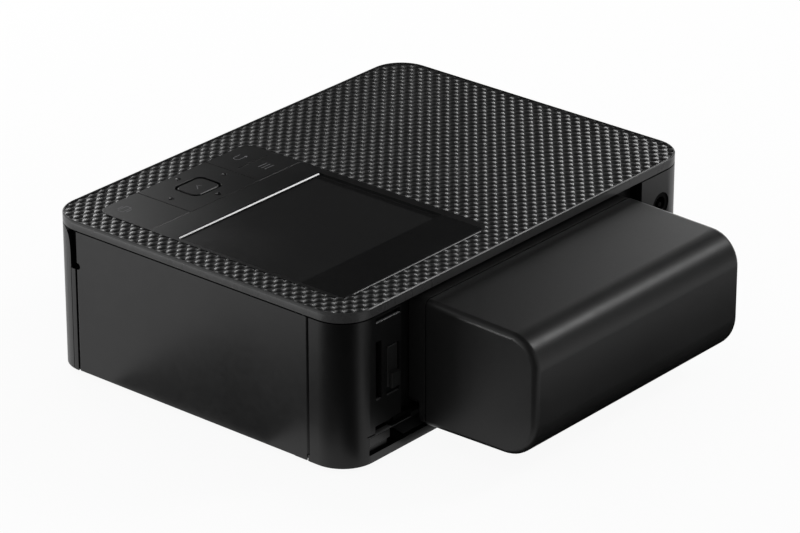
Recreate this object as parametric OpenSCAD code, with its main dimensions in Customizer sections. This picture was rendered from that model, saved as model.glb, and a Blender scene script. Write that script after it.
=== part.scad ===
// Compact photo printer: a dye-transfer printer with a side ink door, a front
// paper door, a keypad and screen on top, and a battery pack on the rear.
// Millimetres, +Z up. +X is the ink-door side, +Y is the battery side.
// The origin is on the table, under the centre of the printer with its pack.

/* [Body] */
// Width of the drive bay, from the left face to the left side plate
drive_bay_w = 30.6; // [28:0.1:40]
// Width of the grip bay, from the right side plate to the ink door's face
grip_bay_w = 31.1; // [28:0.1:40]
// Depth of the print engine's side plates
engine_d = 100; // [92:0.5:120]
// Space in front of the side plates, for the paper door and the sockets
front_bay_d = 16.5; // [15:0.5:24]
// Space behind the side plates, for the main board and the battery bay
rear_bay_d = 16.5; // [15.5:0.5:24]
// Radius of the four upright corners
corner_r = 12.4; // [10:0.1:13]
// Thickness of the plastic walls
wall = 2.2; // [2:0.05:2.3]
// Height of the rubber feet
foot_h = 2.2; // [1.8:0.1:2.6]
// Height of the top cover's rim above its seam
rim_h = 3.2; // [2.9:0.1:3.5]
// Gap between a door or lever and the shell around it
door_gap = 0.3; // [0.25:0.05:0.35]

/* [Control panel] */
// Left edge of the smooth panel, from the body's centre
panel_left = 3.8; // [2:0.1:6]
// Width of the smooth panel
panel_w = 76.2; // [74:0.1:77]
// Depth of the row of keys
key_row_d = 25.2; // [24:0.1:26]
// Depth of the screen window below the panel
window_drop = 0.65; // [0.4:0.05:0.8]
// Travel of each key
key_travel = 0.5; // [0.3:0.05:0.6]
// Gap between neighbouring keys
key_gap = 0.2; // [0.15:0.05:0.3]

/* [Doors and lever] */
// Thickness of the ink door and the paper door
door_t = 2.6; // [2.4:0.1:2.8]
// Length of the ink door
ink_door_l = 103.9; // [102:0.1:105]
// Height of the shell's strip over the paper door
paper_header_h = 6.4; // [4:0.2:14]
// Travel of the battery release lever
lever_travel = 2; // [1.5:0.1:2.4]

/* [Battery pack] */
// Length of the battery pack, left to right
pack_l = 110; // [104:0.5:118]
// Depth of the battery pack behind the printer's rear face
pack_d = 48.7; // [44:0.1:60]
// Height of the battery pack next to the printer
pack_h = 45.6; // [42:0.1:50]
// Radius of the pack's rear top edge
pack_top_r = 11; // [9:0.5:12]
// Radius of the pack's rear bottom edge
pack_low_r = 13.4; // [12:0.1:15]

/* [Print engine] */
// Width that the print head and rollers work on
print_w = 104; // [94:0.5:130]
// Height of the paper's path over the table, at the platen
path_z = 16; // [15:0.1:18]
// Radius of the ink cassette's two tubes
tube_r = 11; // [10:0.1:12]
// Radius of the platen roller
platen_r = 4.5; // [4:0.1:5]
// Radius of the capstan roller and of its pinch roller
capstan_r = 3; // [2.7:0.1:3.3]
// Radius of the paper pickup roller
pickup_r = 6.2; // [5.6:0.1:6.8]
// Pitch of the gears: pitch diameter divided by teeth
gear_module = 0.8; // [0.78:0.01:0.8]
// Angle that the print head swings down from its raised place
head_swing = 4.2; // [2:0.1:4.4]

/* [Hidden] */
$fn = 64;
e = 0.05; // overlap of a cutting shape past the face it cuts

// The engine sets the size of the case: the width is the bays and the rollers,
// and the height is the paper path with the cassette's tubes and the screen over it.
roll_gap_left = 12.5;
roll_gap_right = 4;
body_w = drive_bay_w + roll_gap_left + print_w + roll_gap_right + grip_bay_w;
body_d = front_bay_d + engine_d + rear_bay_d;
tube_z = path_z + tube_r + 6;
arm_gap = 2.9;
chassis_top = tube_z + tube_r + arm_gap + 2.1;
body_h = chassis_top + 8.6;

// The body's centre lies in front of the centre of the printer with its pack.
body_y = -pack_d / 2;

// Faces of the body
half_w = body_w / 2;
half_d = body_d / 2;
seam_z = body_h - rim_h;
shell_low = foot_h;
cover_t = 2;
fit = 0.05; // radial clearance of a shaft or pin that turns

// Floor parts
base_t = 2.2;
base_top = foot_h + base_t;
base_gap = 0.3;
boss_r = 3.6;
boss_inset = 7.4;
boss_top = 24;
screw_r = 1.25;
screw_head_r = 2.6;
screw_head_h = 1.5;
screw_l = 12;
foot_r = 5;
foot_inset_x = 22;
foot_inset_y = 17;

// Control panel
panel_right = panel_left + panel_w;
panel_front = -half_d + 11.8;
panel_rear = half_d - 11.3;
panel_r = 5.5;
key_rear = panel_front + key_row_d;
bezel_t = 3.2;
bezel_lip = 1.5;
key_t = 1.2;
key_tray_top = body_h - key_t - key_travel - 0.2;
stem_r = 1.2;
stem_low = body_h - 3.6;
board_t = 1.2;
switch_top = stem_low - key_travel - 0.1;
switch_h = 1.2;
key_board_top = switch_top - switch_h;
window_front = key_rear + 10.8;
window_rear = panel_rear - 1.2;
window_left = panel_left + 3.4;
window_right = panel_right - 1.6;
window_t = 1.5;
window_r = 1;
window_ledge = 1.4;
lcd_rear = window_front + 54.7;
lcd_t = 3.2;
print_key_w = 20;
menu_w = 21.8;
nav_left = panel_left + menu_w;
nav_right = panel_right - print_key_w;
nav_x = (nav_left + nav_right) / 2;
nav_y = (panel_front + key_rear) / 2;
ok_w = 12.5;
ok_d = 10;
ok_r = 2.4;
ok_gap = 0.45;
key_split_y = panel_front + 12.5;
rib_r = 0.5;
groove_w = 0.5;
groove_depth = 0.3;
groove_end = 3.6;
nav_reach_x = 13.4;
nav_reach_y = 9.4;

// Ink door on the +X side, with its upright hinge at the rear edge
ink_door_rear = half_d - corner_r - 4;
ink_door_front = ink_door_rear - ink_door_l;
ink_door_top = seam_z - 0.2;
ink_door_low = foot_h + 0.1;
pin_r = 0.7;
door_hinge_in = door_t / 2;
hinge_back = 2.6;
ink_hinge_x = half_w - door_hinge_in;
ink_hinge_y = ink_door_rear - hinge_back;
lug_gap = 0.3;
edge_r = 1;
notch_front = ink_door_front - 2.4;
notch_w = 4.2;
notch_h = 14.4;
notch_low = seam_z - notch_h;
notch_depth = 5;
notch_wall = 1.2;

// Side plates of the print engine, and the ends of its rollers
plate_t = 1.5;
left_x = -half_w + drive_bay_w;
right_x = half_w - grip_bay_w;
roll_x0 = left_x + roll_gap_left;
roll_x1 = right_x - roll_gap_right;
path_x = (roll_x0 + roll_x1) / 2;
chassis_front = -half_d + front_bay_d;
chassis_rear = half_d - rear_bay_d;

// Paper door on the front, with its hinge along the bottom
paper_x0 = left_x + 3.5;
paper_x1 = right_x + 7;
paper_door_top = seam_z - paper_header_h;
paper_door_low = foot_h + 0.4;
paper_hinge_y = -half_d + 1.3;
paper_hinge_z = paper_door_low + 1.7;
pin_l = 8;

// Battery bay in the rear wall
bay_x = half_w - 27;
bay_low = 13;
bay_top = seam_z - 1;
bay_floor_y = half_d - 5;
bay_t = 1.6;
bay_floor_t = 1.8;

// Rear paper slot
slot_x = half_w - 11.1;
slot_low = 5.1;
slot_top = 11.5;

// Release lever, in the rear wall beside the battery bay
lever_x = bay_x + 4.2;
pocket_w = 6.2;
lever_w = pocket_w - 2 * door_gap;
knob_w = 4.7;
pocket_top = seam_z - 12.9;
pocket_low = pocket_top - 17.5;
side_slot_x = bay_x + 9.8;
side_slot_w = 2.8;
side_slot_top = seam_z - 9.6;
side_slot_h = 20.7;
pocket_depth = 1.1;
knob_low = pocket_low + lever_travel + 0.25;
knob_h = 5.6;
lever_top = pocket_top - 0.3;
stem_w = 1.8;
stem_h = 7;
stem_z = pocket_low + 5;

// Sockets
jack_x = -half_w + 15.9;
jack_z = seam_z - 12.4;
jack_hole_r = 4.5;
jack_w = 9.6;
jack_depth = 8.8;
jack_bore_r = 2.8;
jack_pin_r = 0.9;
socket_x = right_x + 13;
card_slot_w = 3;
card_low = 23;
card_top = seam_z - 5.4;
card_depth = 26;
usb_low = 8;
usb_w = 5.2;
usb_h = 13.2;
usb_depth = 13.4;
usb_skin = 0.3;

// Battery pack
pack_top = bay_top - 0.6;
pack_low = pack_top - pack_h;
pack_gap = 0.1;
pack_front = half_d + pack_gap;
pack_plate_t = 2.2;
pack_rear = half_d + pack_d;
pack_wall = 1.8;
pack_taper = 1.4;
pack_rise = 0.9;
neck_low = bay_low + 0.6;
contact_z = (neck_low + pack_top) / 2;
contact_h = 8;
contact_w = 18;
contact_gap = 1;
neck_depth = 4.5;
cell_r = 9;
cell_gap = 0.1;
cell_end_gap = 4.1;
cell_l = pack_l / 2 - pack_wall - cell_gap - cell_end_gap;
cell_pitch = 2 * cell_r + cell_gap;
cell_low = [pack_front + 14, pack_low + 0.4 + pack_wall + cell_r + cell_gap];

// Print engine. Its rollers lie along X, between the two side plates.
floor_t = 1;
chassis_low = base_top + floor_t;
journal_r = 1.5;
bush_r = 2.6;
bush_t = 3;
paper_t = 0.3;
platen = [0, path_z - platen_r];
capstan = [16, path_z - capstan_r];
pinch = [capstan.x, path_z + paper_t + capstan_r];
pivot_r = 1.5;
arm_t = 1.5;
arm_low = tube_z + tube_r + arm_gap;
head_pivot = [chassis_rear - 6, arm_low + arm_t / 2];
ear_r = 2.4;
ear_t = 1.6;

// Ink cassette: two tubes along X with the film between them
tube_wall = 1.4;
takeup = [-21, tube_z];
supply = [23, tube_z];
cassette_x0 = left_x + 7.5;
cassette_x1 = half_w - 7.1;
grip_t = 4;
tube_gap = 0.4;
cap_t = 1.5;
hub_r = 3;
film_z = path_z + 0.5;
film_t = 0.2;
core_r = 4;
supply_roll_r = tube_r - tube_wall - 1;
takeup_roll_r = core_r + 1.4;
socket_depth = 6;
drive_w = 3.4;
drive_t = 1.4;
drive_gap = 0.3;

// Print head, hung from an arm that swings on a shaft behind the cassette
head_y = -2.2;
head_half = 4;
head_rest = 0.37; // the lowered head's height over the film
head_low = film_z + film_t + head_rest + (head_pivot.x - head_y) * sin(head_swing);
sink_low = head_low + 1.5;

// Gear trains. Each gear's phase places a tooth at that angle from +Y.
gear_w = 5;
gear_x0 = left_x - gear_w - 2;
tooth_slack = 0.12;
capstan_teeth = 14;
idler_teeth = 36;
feed_pinion_teeth = 12;
takeup_teeth = 30;
pickup_teeth = 16;
ribbon_pinion_teeth = 12;
function pitch_r(teeth) = gear_module * teeth / 2;
function polar(r, a) = [r * cos(a), r * sin(a)];
function meshed_phase(phase, from, to, a) = a + 180 - (phase - a) * from / to + 180 / to;
idler_angle = 60;
feed_angle = 40;
pickup_angle = 205.4;
ribbon_angle = 140;
idler = capstan + polar(pitch_r(capstan_teeth + idler_teeth), idler_angle);
feed_pinion_at = idler + polar(pitch_r(idler_teeth + feed_pinion_teeth), feed_angle);
pickup = takeup + polar(pitch_r(takeup_teeth + pickup_teeth), pickup_angle);
ribbon_pinion_at = takeup + polar(pitch_r(takeup_teeth + ribbon_pinion_teeth), ribbon_angle);
idler_phase = meshed_phase(idler_angle, capstan_teeth, idler_teeth, idler_angle);
feed_phase = meshed_phase(idler_phase, idler_teeth, feed_pinion_teeth, feed_angle);
pickup_phase = meshed_phase(pickup_angle, takeup_teeth, pickup_teeth, pickup_angle);
ribbon_phase = meshed_phase(pickup_angle, takeup_teeth, ribbon_pinion_teeth, ribbon_angle);
bracket_t = 1;
bracket_x = gear_x0 - bracket_t - 1;
bracket_low = 18;
motor_x0 = -half_w + 3.6;
motor_boss_r = 3;
feed_motor_r = 9;
ribbon_motor_r = 8;
motor_shaft_r = 1;
idler_axle_r = 2;
post_r = 2;
bracket_posts = [[0, chassis_top - 5], [chassis_rear - 4, path_z + 6], [chassis_front + 4, tube_z + 4]];

// Boards
main_board_y = half_d - 12.5;
board_thick = 1.6;
main_board_low = 16;
stand_r = 2;
stand_x = [left_x + 14.5, right_x - 10];
stand_z = [main_board_low + 4, chassis_top - 5];
power_x0 = motor_x0 + 1.5;
power_x1 = bracket_x - 1.5;
power_y0 = -half_d + 12.5;
power_y1 = 28;
power_stand_h = 3;
power_z = base_top + power_stand_h;
can_r = 4.5;
can_h = 11;

// ---------- Shared shapes ----------

// Moves a piece drawn about the body's centre into the part's frame.
module placed() translate([0, body_y, 0]) children();

// Extrudes an outline between two heights, or along X or Y between two places.
// Along X the outline's axes are Y and Z; along Y they are X and Z.
module up(z0, z1) translate([0, 0, z0]) linear_extrude(z1 - z0) children();
module along_x(x0, x1) translate([x0, 0, 0]) rotate([90, 0, 90]) linear_extrude(x1 - x0) children();
module along_y(y0, y1) translate([0, y1, 0]) rotate([90, 0, 0]) linear_extrude(y1 - y0) children();

// A block between two corners.
module block(a, b) translate(a) cube(b - a);

// A disc or ring about a point of an outline.
module disc(at, r) translate(at) circle(r);
module ring(at, r_out, r_in) difference() {
    disc(at, r_out);
    disc(at, r_in);
}

// A rectangle between two corners, with or without rounded corners.
module rect(x0, x1, y0, y1, r = 0) {
    if (r == 0) translate([x0, y0]) square([x1 - x0, y1 - y0]);
    else {
        translate([x0 + r, y0]) square([x1 - x0 - 2 * r, y1 - y0]);
        translate([x0, y0 + r]) square([x1 - x0, y1 - y0 - 2 * r]);
        for (x = [x0 + r, x1 - r], y = [y0 + r, y1 - r]) translate([x, y]) circle(r);
    }
}

// The body's outline, moved inwards.
module body_outline(inset = 0)
    rect(-half_w + inset, half_w - inset, -half_d + inset, half_d - inset, corner_r - inset);

// A spur gear's outline with involute flanks, one tooth at the angle phase.
module gear_outline(teeth, phase, bore) {
    r = pitch_r(teeth);
    base_r = r * cos(20);
    tip_r = r + gear_module * 0.9;
    root_r = r - gear_module * 1.2;
    half_tooth = 90 / teeth - tooth_slack / r * 90 / PI;
    inv_pitch = tan(20) * 180 / PI - 20;
    // Half angle of the tooth where its radius is q
    function half_at(q) = let (a = acos(min(1, base_r / q)))
        half_tooth + inv_pitch - (tan(a) * 180 / PI - a);
    radii = [root_r, max(base_r, root_r + 0.05), (base_r + r) / 2 + 0.1, r, (r + tip_r) / 2, tip_r];
    difference() {
        polygon([for (t = [0:teeth - 1]) each concat(
            [for (q = radii) polar(q, phase + t * 360 / teeth - half_at(max(q, base_r)))],
            [for (i = [len(radii) - 1:-1:0]) polar(radii[i],
                phase + t * 360 / teeth + half_at(max(radii[i], base_r)))]
        )]);
        circle(bore);
    }
}

module gear(at, teeth, phase, bore)
    along_x(gear_x0, gear_x0 + gear_w) translate(at) gear_outline(teeth, phase, bore);

// A plain shaft along X.
module shaft(at, r, x0, x1) along_x(x0, x1) disc(at, r);

// ---------- Case ----------

module body_shell() color("#1d1d1f") placed() difference() {
    union() {
        up(shell_low, seam_z) difference() {
            body_outline();
            body_outline(wall);
        }
        for (x = [-1, 1], y = [-1, 1])
            translate([x * (half_w - boss_inset), y * (half_d - boss_inset), base_top])
                cylinder(h = boss_top - base_top, r = boss_r);
        // Finger notch's back wall, behind the front edge of the ink door
        block([half_w - notch_depth - notch_wall, notch_front - 1, notch_low - notch_wall],
              [half_w - wall + e, notch_front + notch_w + 1, seam_z]);
        // Thick cheeks beside the paper door carry its hinge pins
        for (x = [[paper_x0 - pin_l, paper_x0 - door_gap], [paper_x1 + door_gap, paper_x1 + pin_l]])
            block([x[0], -half_d + wall - e, shell_low], [x[1], -half_d + 4, usb_low - 0.2]);
    }
    // Opening of the ink door, open to the seam and to the bottom
    block([half_w - door_t - 0.4, ink_door_front - door_gap, 0],
          [half_w + e, ink_door_rear + door_gap, seam_z + e]);
    // Finger notch in front of the ink door's front edge
    block([half_w - notch_depth, notch_front, notch_low],
          [half_w + e, notch_front + notch_w, seam_z + e]);
    // Opening of the paper door
    block([paper_x0 - door_gap, -half_d - e, 0],
          [paper_x1 + door_gap, -half_d + 4 + e, paper_door_top + door_gap]);
    for (x = [[paper_x0 - 5, paper_x0], [paper_x1, paper_x1 + 5]])
        shaft([paper_hinge_y, paper_hinge_z], pin_r, x[0], x[1]);
    // Battery bay, rear paper slot and the notch above it
    block([-bay_x, half_d - wall - e, bay_low], [bay_x, half_d + e, bay_top]);
    block([-slot_x, half_d - wall - e, slot_low], [slot_x, half_d + e, slot_top]);
    block([bay_x + 4.9, half_d - wall - e, slot_top - e], [bay_x + 12.9, half_d + e, slot_top + 3.2]);
    // Release lever's pocket and slot
    block([lever_x - pocket_w / 2, half_d - pocket_depth, pocket_low],
          [lever_x + pocket_w / 2, half_d + e, pocket_top]);
    block([lever_x - stem_w / 2 - 0.3, half_d - wall - e, stem_z - lever_travel - 0.3],
          [lever_x + stem_w / 2 + 0.3, half_d, stem_z + stem_h + 0.3]);
    // Two narrow slots beside the lever
    block([bay_x + 0.6, half_d - 1, bay_top - 1.2],
          [side_slot_x + side_slot_w, half_d + e, bay_top]);
    block([side_slot_x, half_d - wall - e, side_slot_top - side_slot_h],
          [side_slot_x + side_slot_w, half_d + e, side_slot_top]);
    // Power inlet, card slot and data socket
    along_y(half_d - wall - e, half_d + e) disc([jack_x, jack_z], jack_hole_r);
    block([socket_x - card_slot_w / 2, -half_d - e, card_low],
          [socket_x + card_slot_w / 2, -half_d + wall + e, card_top]);
    block([socket_x - usb_w / 2, -half_d - e, usb_low],
          [socket_x + usb_w / 2, -half_d + wall + e, usb_low + usb_h]);
    // Screw holes in the corner bosses
    for (x = [-1, 1], y = [-1, 1])
        translate([x * (half_w - boss_inset), y * (half_d - boss_inset), base_top - e])
            cylinder(h = screw_l, r = screw_r);
}

module base_plate() color("#262628") placed() difference() {
    up(foot_h, base_top) {
        difference() {
            body_outline(wall + base_gap);
            // Clearance for the ink door and for the paper door with its cheeks
            rect(half_w - door_t - 0.6, half_w, ink_door_front - 4, ink_door_rear + 1);
            rect(paper_x0 - pin_l - base_gap, paper_x1 + pin_l + base_gap, -half_d, -half_d + 4.2);
        }
        // Lug under the ink door's rear corner
        disc([ink_hinge_x, ink_hinge_y], door_t / 2);
        rect(half_w - door_t - 8, ink_hinge_x, ink_hinge_y - door_t / 2, ink_hinge_y + door_t / 2);
    }
    translate([ink_hinge_x, ink_hinge_y, 0]) cylinder(h = 10, r = pin_r);
    for (x = [-1, 1], y = [-1, 1])
        translate([x * (half_w - boss_inset), y * (half_d - boss_inset), 0]) {
            cylinder(h = 10, r = screw_r + 0.2);
            cylinder(h = foot_h + screw_head_h, r = screw_head_r);
        }
}

module top_cover() color("#1b1b1d") placed() difference() {
    up(seam_z, body_h) body_outline();
    up(seam_z - e, body_h - cover_t) difference() {
        body_outline(wall);
        // Block that carries the ink door's top hinge pin
        rect(ink_hinge_x - 3, half_w, ink_hinge_y - 3, ink_hinge_y + 3);
    }
    up(body_h - cover_t - e, body_h + e)
        rect(panel_left, panel_right, panel_front, panel_rear, panel_r);
    translate([ink_hinge_x, ink_hinge_y, seam_z - e]) cylinder(h = 2 + e, r = pin_r);
}

module rubber_feet() color("#0c0c0d") placed()
    for (x = [-1, 1], y = [-1, 1])
        translate([x * (half_w - foot_inset_x), y * (half_d - foot_inset_y), 0])
            cylinder(h = foot_h, r = foot_r);

module case_screws() color("#8c8c90") placed()
    for (x = [-1, 1], y = [-1, 1])
        translate([x * (half_w - boss_inset), y * (half_d - boss_inset), 0]) difference() {
            union() {
                translate([0, 0, foot_h]) cylinder(h = screw_head_h, r = screw_head_r);
                translate([0, 0, foot_h + 0.2]) cylinder(h = screw_l - 1, r = screw_r);
            }
            up(foot_h - e, foot_h + 0.8) {
                square([3.4, 0.8], center = true);
                square([0.8, 3.4], center = true);
            }
        }

// ---------- Control panel ----------

module panel_bezel() color("#141416") placed() difference() {
    union() {
        up(body_h - bezel_t, body_h)
            rect(panel_left, panel_right, key_rear + key_gap / 2, panel_rear, panel_r);
        up(body_h - bezel_t, body_h)
            rect(panel_left, panel_right, key_rear + key_gap / 2, panel_rear - panel_r);
        up(body_h - bezel_t, key_tray_top)
            rect(panel_left, panel_right, panel_front, panel_rear, panel_r);
        up(body_h - bezel_t, body_h - cover_t)
            rect(panel_left - bezel_lip, panel_right + bezel_lip,
                 panel_front - bezel_lip, panel_rear + bezel_lip, panel_r);
    }
    up(body_h - window_drop - window_t, body_h + e)
        rect(window_left, window_right, window_front, window_rear, window_r);
    up(body_h - bezel_t - e, body_h)
        rect(window_left + window_ledge, window_right - window_ledge,
             window_front + window_ledge, lcd_rear - window_ledge);
    for (p = key_stems) translate([p.x, p.y, body_h - bezel_t - e])
        cylinder(h = bezel_t, r = stem_r + 0.5);
}

module screen_window() color("#0f1011") placed()
    up(body_h - window_drop - window_t, body_h - window_drop)
        rect(window_left, window_right, window_front, window_rear, window_r);

module lcd_module() color("#2a2d30") placed() {
    up(body_h - bezel_t - lcd_t, body_h - bezel_t)
        rect(window_left, window_right, window_front, lcd_rear);
    up(body_h - bezel_t - e, body_h - window_drop - window_t)
        rect(window_left + window_ledge + 0.2, window_right - window_ledge - 0.2,
             window_front + window_ledge + 0.2, lcd_rear - window_ledge - 0.2);
}

// Places of the key stems: print, back, menu, OK and the four sides of the pad
key_stems = [
    [(nav_right + panel_right) / 2, nav_y],
    [(panel_left + nav_left) / 2, (panel_front + key_split_y) / 2],
    [(panel_left + nav_left) / 2, (key_split_y + key_rear) / 2],
    [nav_x, nav_y],
    [nav_x - nav_reach_x, nav_y],
    [nav_x + nav_reach_x, nav_y],
    [nav_x, nav_y - nav_reach_y],
    [nav_x, nav_y + nav_reach_y]
];

module key_stem(i) translate([key_stems[i].x, key_stems[i].y, stem_low])
    cylinder(h = body_h - key_t / 2 - stem_low, r = stem_r);

// The row of keys as one outline, cut into keys by the box of each.
module key_plate(x0, x1, y0, y1) up(body_h - key_t, body_h) intersection() {
    rect(panel_left + key_gap, panel_right - key_gap,
         panel_front + key_gap, key_rear + 20, panel_r - key_gap);
    rect(x0 + key_gap / 2, x1 - key_gap / 2, y0 + key_gap / 2, y1 - key_gap / 2);
}

module print_key() color("#1a1a1c") placed() {
    key_plate(nav_right, panel_right + 1, panel_front - 1, key_rear);
    key_stem(0);
}

// One plate with two press points, front and rear, and a groove between them
module menu_rocker() color("#1a1a1c") placed() {
    difference() {
        key_plate(panel_left - 1, nav_left, panel_front - 1, key_rear);
        block([panel_left + groove_end, key_split_y - groove_w / 2, body_h - groove_depth],
              [nav_left - groove_end, key_split_y + groove_w / 2, body_h + e]);
    }
    key_stem(1);
    key_stem(2);
    // Round ribs that it rocks on, left and right
    for (x = [[panel_left + 1, panel_left + 5], [nav_left - 5, nav_left - 1]])
        shaft([key_split_y, body_h - key_t], rib_r, x[0], x[1]);
}

module nav_pad() color("#1a1a1c") placed() {
    difference() {
        key_plate(nav_left, nav_right, panel_front - 1, key_rear);
        up(body_h - key_t - e, body_h + e)
            rect(nav_x - ok_w / 2 - ok_gap, nav_x + ok_w / 2 + ok_gap,
                 nav_y - ok_d / 2 - ok_gap, nav_y + ok_d / 2 + ok_gap, ok_r + ok_gap);
    }
    for (i = [4:7]) key_stem(i);
    // Round ribs that the pad rocks on, front and rear
    for (y = [[panel_front + 1, panel_front + 5], [key_rear - 5, key_rear - 1]])
        along_y(y[0], y[1]) disc([nav_x, body_h - key_t], rib_r);
}

module ok_key() color("#1a1a1c") placed() {
    up(body_h - key_t, body_h)
        rect(nav_x - ok_w / 2, nav_x + ok_w / 2, nav_y - ok_d / 2, nav_y + ok_d / 2, ok_r);
    key_stem(3);
}

module key_board() color("#20502f") placed() {
    up(key_board_top - board_t, key_board_top)
        rect(panel_left, panel_right, panel_front, key_rear + 4, 3);
    for (p = key_stems) translate([p.x, p.y, key_board_top - e]) {
        translate([-3, -3, 0]) cube([6, 6, switch_h / 2]);
        cylinder(h = switch_h + e, r = 1.5);
    }
    // Posts that hang the board from the panel
    for (x = [panel_left + 2.5, panel_right - 2.5], y = [nav_y - 8, nav_y + 8])
        translate([x, y, key_board_top - e])
            cylinder(h = body_h - bezel_t - key_board_top + e, r = 1.2);
}

// ---------- Doors and lever ----------

module ink_door() color("#202022") placed() difference() {
    union() {
        up(ink_door_low, ink_door_top) {
            rect(half_w - door_t, half_w, ink_door_front, ink_door_rear, edge_r);
            rect(half_w - door_t, half_w - edge_r, ink_door_front + edge_r, ink_door_rear - edge_r);
        }
        // Ribs on the inner face
        for (y = [ink_door_front + 12, 0, ink_door_rear - 16])
            block([half_w - door_t - 1.2, y, 12], [half_w - door_t + e, y + 1.2, 46]);
    }
    // Cut-out over the base plate's lug, and the two hinge bores
    block([half_w - door_t - e, ink_door_rear - 5.6, 0],
          [half_w + e, ink_door_rear + e, base_top + lug_gap]);
    translate([ink_hinge_x, ink_hinge_y, 0]) cylinder(h = base_top + 4.2, r = pin_r + fit);
    translate([ink_hinge_x, ink_hinge_y, ink_door_top - 4.2]) cylinder(h = 5, r = pin_r + fit);
    // The finger notch bites the door's front edge
    along_x(half_w - door_t - 2, half_w + e)
        rect(ink_door_front - 4, notch_front + notch_w, notch_low, ink_door_top + 4, 1.5);
}

module ink_door_pins() color("#b8b8bc") placed() translate([ink_hinge_x, ink_hinge_y, 0]) {
    translate([0, 0, foot_h]) cylinder(h = base_t + 4, r = pin_r);
    translate([0, 0, ink_door_top - 4]) cylinder(h = seam_z + 2 - ink_door_top + 4, r = pin_r);
}

module paper_door() color("#202022") placed() difference() {
    union() {
        along_y(-half_d, -half_d + door_t)
            rect(paper_x0, paper_x1, paper_door_low, paper_door_top, edge_r);
        along_x(paper_x0, paper_x1) disc([paper_hinge_y, paper_hinge_z], 1.3);
        for (x = [paper_x0 + 10, paper_x1 - 11])
            block([x, -half_d + door_t - e, 12], [x + 1.2, -half_d + door_t + 1.2, 40]);
    }
    for (x = [[paper_x0 - 1, paper_x0 + 4.2], [paper_x1 - 4.2, paper_x1 + 1]])
        shaft([paper_hinge_y, paper_hinge_z], pin_r + fit, x[0], x[1]);
    // Finger grip in the top edge
    along_y(-half_d - e, -half_d + 1.2) rect(path_x - 10, path_x + 10, paper_door_top - 3, paper_door_top + 3);
}

module paper_door_pins() color("#b8b8bc") placed()
    for (x = [[paper_x0 - 5, paper_x0 + 4], [paper_x1 - 4, paper_x1 + 5]])
        shaft([paper_hinge_y, paper_hinge_z], pin_r, x[0], x[1]);

module release_lever() color("#161618") placed() {
    block([lever_x - lever_w / 2, half_d - pocket_depth + 0.1, knob_low],
          [lever_x + lever_w / 2, half_d - 0.2, lever_top]);
    block([lever_x - knob_w / 2, half_d - 0.3, knob_low],
          [lever_x + knob_w / 2, half_d + 1.5, knob_low + knob_h]);
    block([lever_x - stem_w / 2, half_d - wall - 1, stem_z],
          [lever_x + stem_w / 2, half_d - pocket_depth + 0.2, stem_z + stem_h]);
    block([lever_x - 2.4, half_d - wall - 2.2, stem_z - 2],
          [lever_x + 2.4, half_d - wall - 0.15, stem_z + stem_h + 2]);
}

// ---------- Rear bay and sockets ----------

module battery_bay() color("#0e0e0f") placed() difference() {
    union() {
        along_y(bay_floor_y - bay_floor_t, half_d - wall)
            rect(-bay_x - bay_t, bay_x + bay_t, slot_top + 0.1, seam_z - 0.1);
        for (x = stand_x, z = stand_z)
            along_y(main_board_y + board_thick, bay_floor_y - bay_floor_t + e) disc([x, z], stand_r);
    }
    along_y(bay_floor_y, half_d) rect(-bay_x, bay_x, bay_low, bay_top);
}

module battery_contacts() color("#c9a34a") placed() {
    block([-contact_w / 2, bay_floor_y, contact_z - contact_h / 2],
          [contact_w / 2, bay_floor_y + 1.5, contact_z + contact_h / 2]);
    for (x = [-6, -2, 2, 6])
        block([x - 0.7, bay_floor_y + 1.5 - e, contact_z - contact_h / 3],
              [x + 0.7, bay_floor_y + 2.4, contact_z + contact_h / 3]);
}

module dc_jack() color("#101011") placed() difference() {
    union() {
        along_y(half_d - wall - 0.1 - jack_depth, half_d - wall - 0.1)
            rect(jack_x - jack_w / 2, jack_x + jack_w / 2, jack_z - 6, jack_z + 5);
        along_y(half_d - wall - 0.2, half_d - 0.4) disc([jack_x, jack_z], jack_hole_r - 0.1);
    }
    along_y(half_d - wall + 1.4 - jack_depth, half_d) ring([jack_x, jack_z], jack_bore_r, jack_pin_r);
}

module card_slot() color("#9a9a9e") placed() difference() {
    block([socket_x - card_slot_w, -half_d + wall, card_low - 1],
          [socket_x + card_slot_w, -half_d + wall + card_depth, card_top + 1]);
    block([socket_x - card_slot_w / 2 + 0.2, -half_d + wall - e, card_low + 0.5],
          [socket_x + card_slot_w / 2 - 0.2, -half_d + wall + card_depth - 2, card_top - 0.5]);
}

module usb_port() color("#b0b0b4") placed() {
    difference() {
        block([socket_x - usb_w / 2, -half_d + 0.6, usb_low],
              [socket_x + usb_w / 2, -half_d + 0.6 + usb_depth, usb_low + usb_h]);
        block([socket_x - usb_w / 2 + usb_skin, -half_d, usb_low + usb_skin],
              [socket_x + usb_w / 2 - usb_skin, -half_d + usb_depth - 0.4, usb_low + usb_h - usb_skin]);
    }
    block([socket_x - 2, -half_d + 1.2, usb_low + 1.6],
          [socket_x + 0.1, -half_d + usb_depth, usb_low + usb_h - 1.6]);
}

// ---------- Chassis ----------

module chassis_floor() color("#a5a7aa") placed() difference() {
    block([left_x, chassis_front, base_top], [right_x + plate_t, chassis_rear, chassis_low]);
    for (x = [roll_x0 + 8, path_x, roll_x1 - 8]) translate([x, chassis_front + 22, 0]) cylinder(h = 20, r = 6);
}

// Window in the right plate for the ink cassette, seen along X
module cassette_window() {
    disc(takeup, tube_r + tube_gap);
    disc(supply, tube_r + tube_gap);
    rect(takeup.x + 9, supply.x - 10.4, film_z - 0.3, tube_z);
}

module chassis_outline() difference() {
    rect(chassis_front, chassis_rear, chassis_low, chassis_top, 2);
    for (p = [platen, capstan, pinch, pickup]) disc(p, bush_r);
    disc(head_pivot, pivot_r);
}

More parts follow.
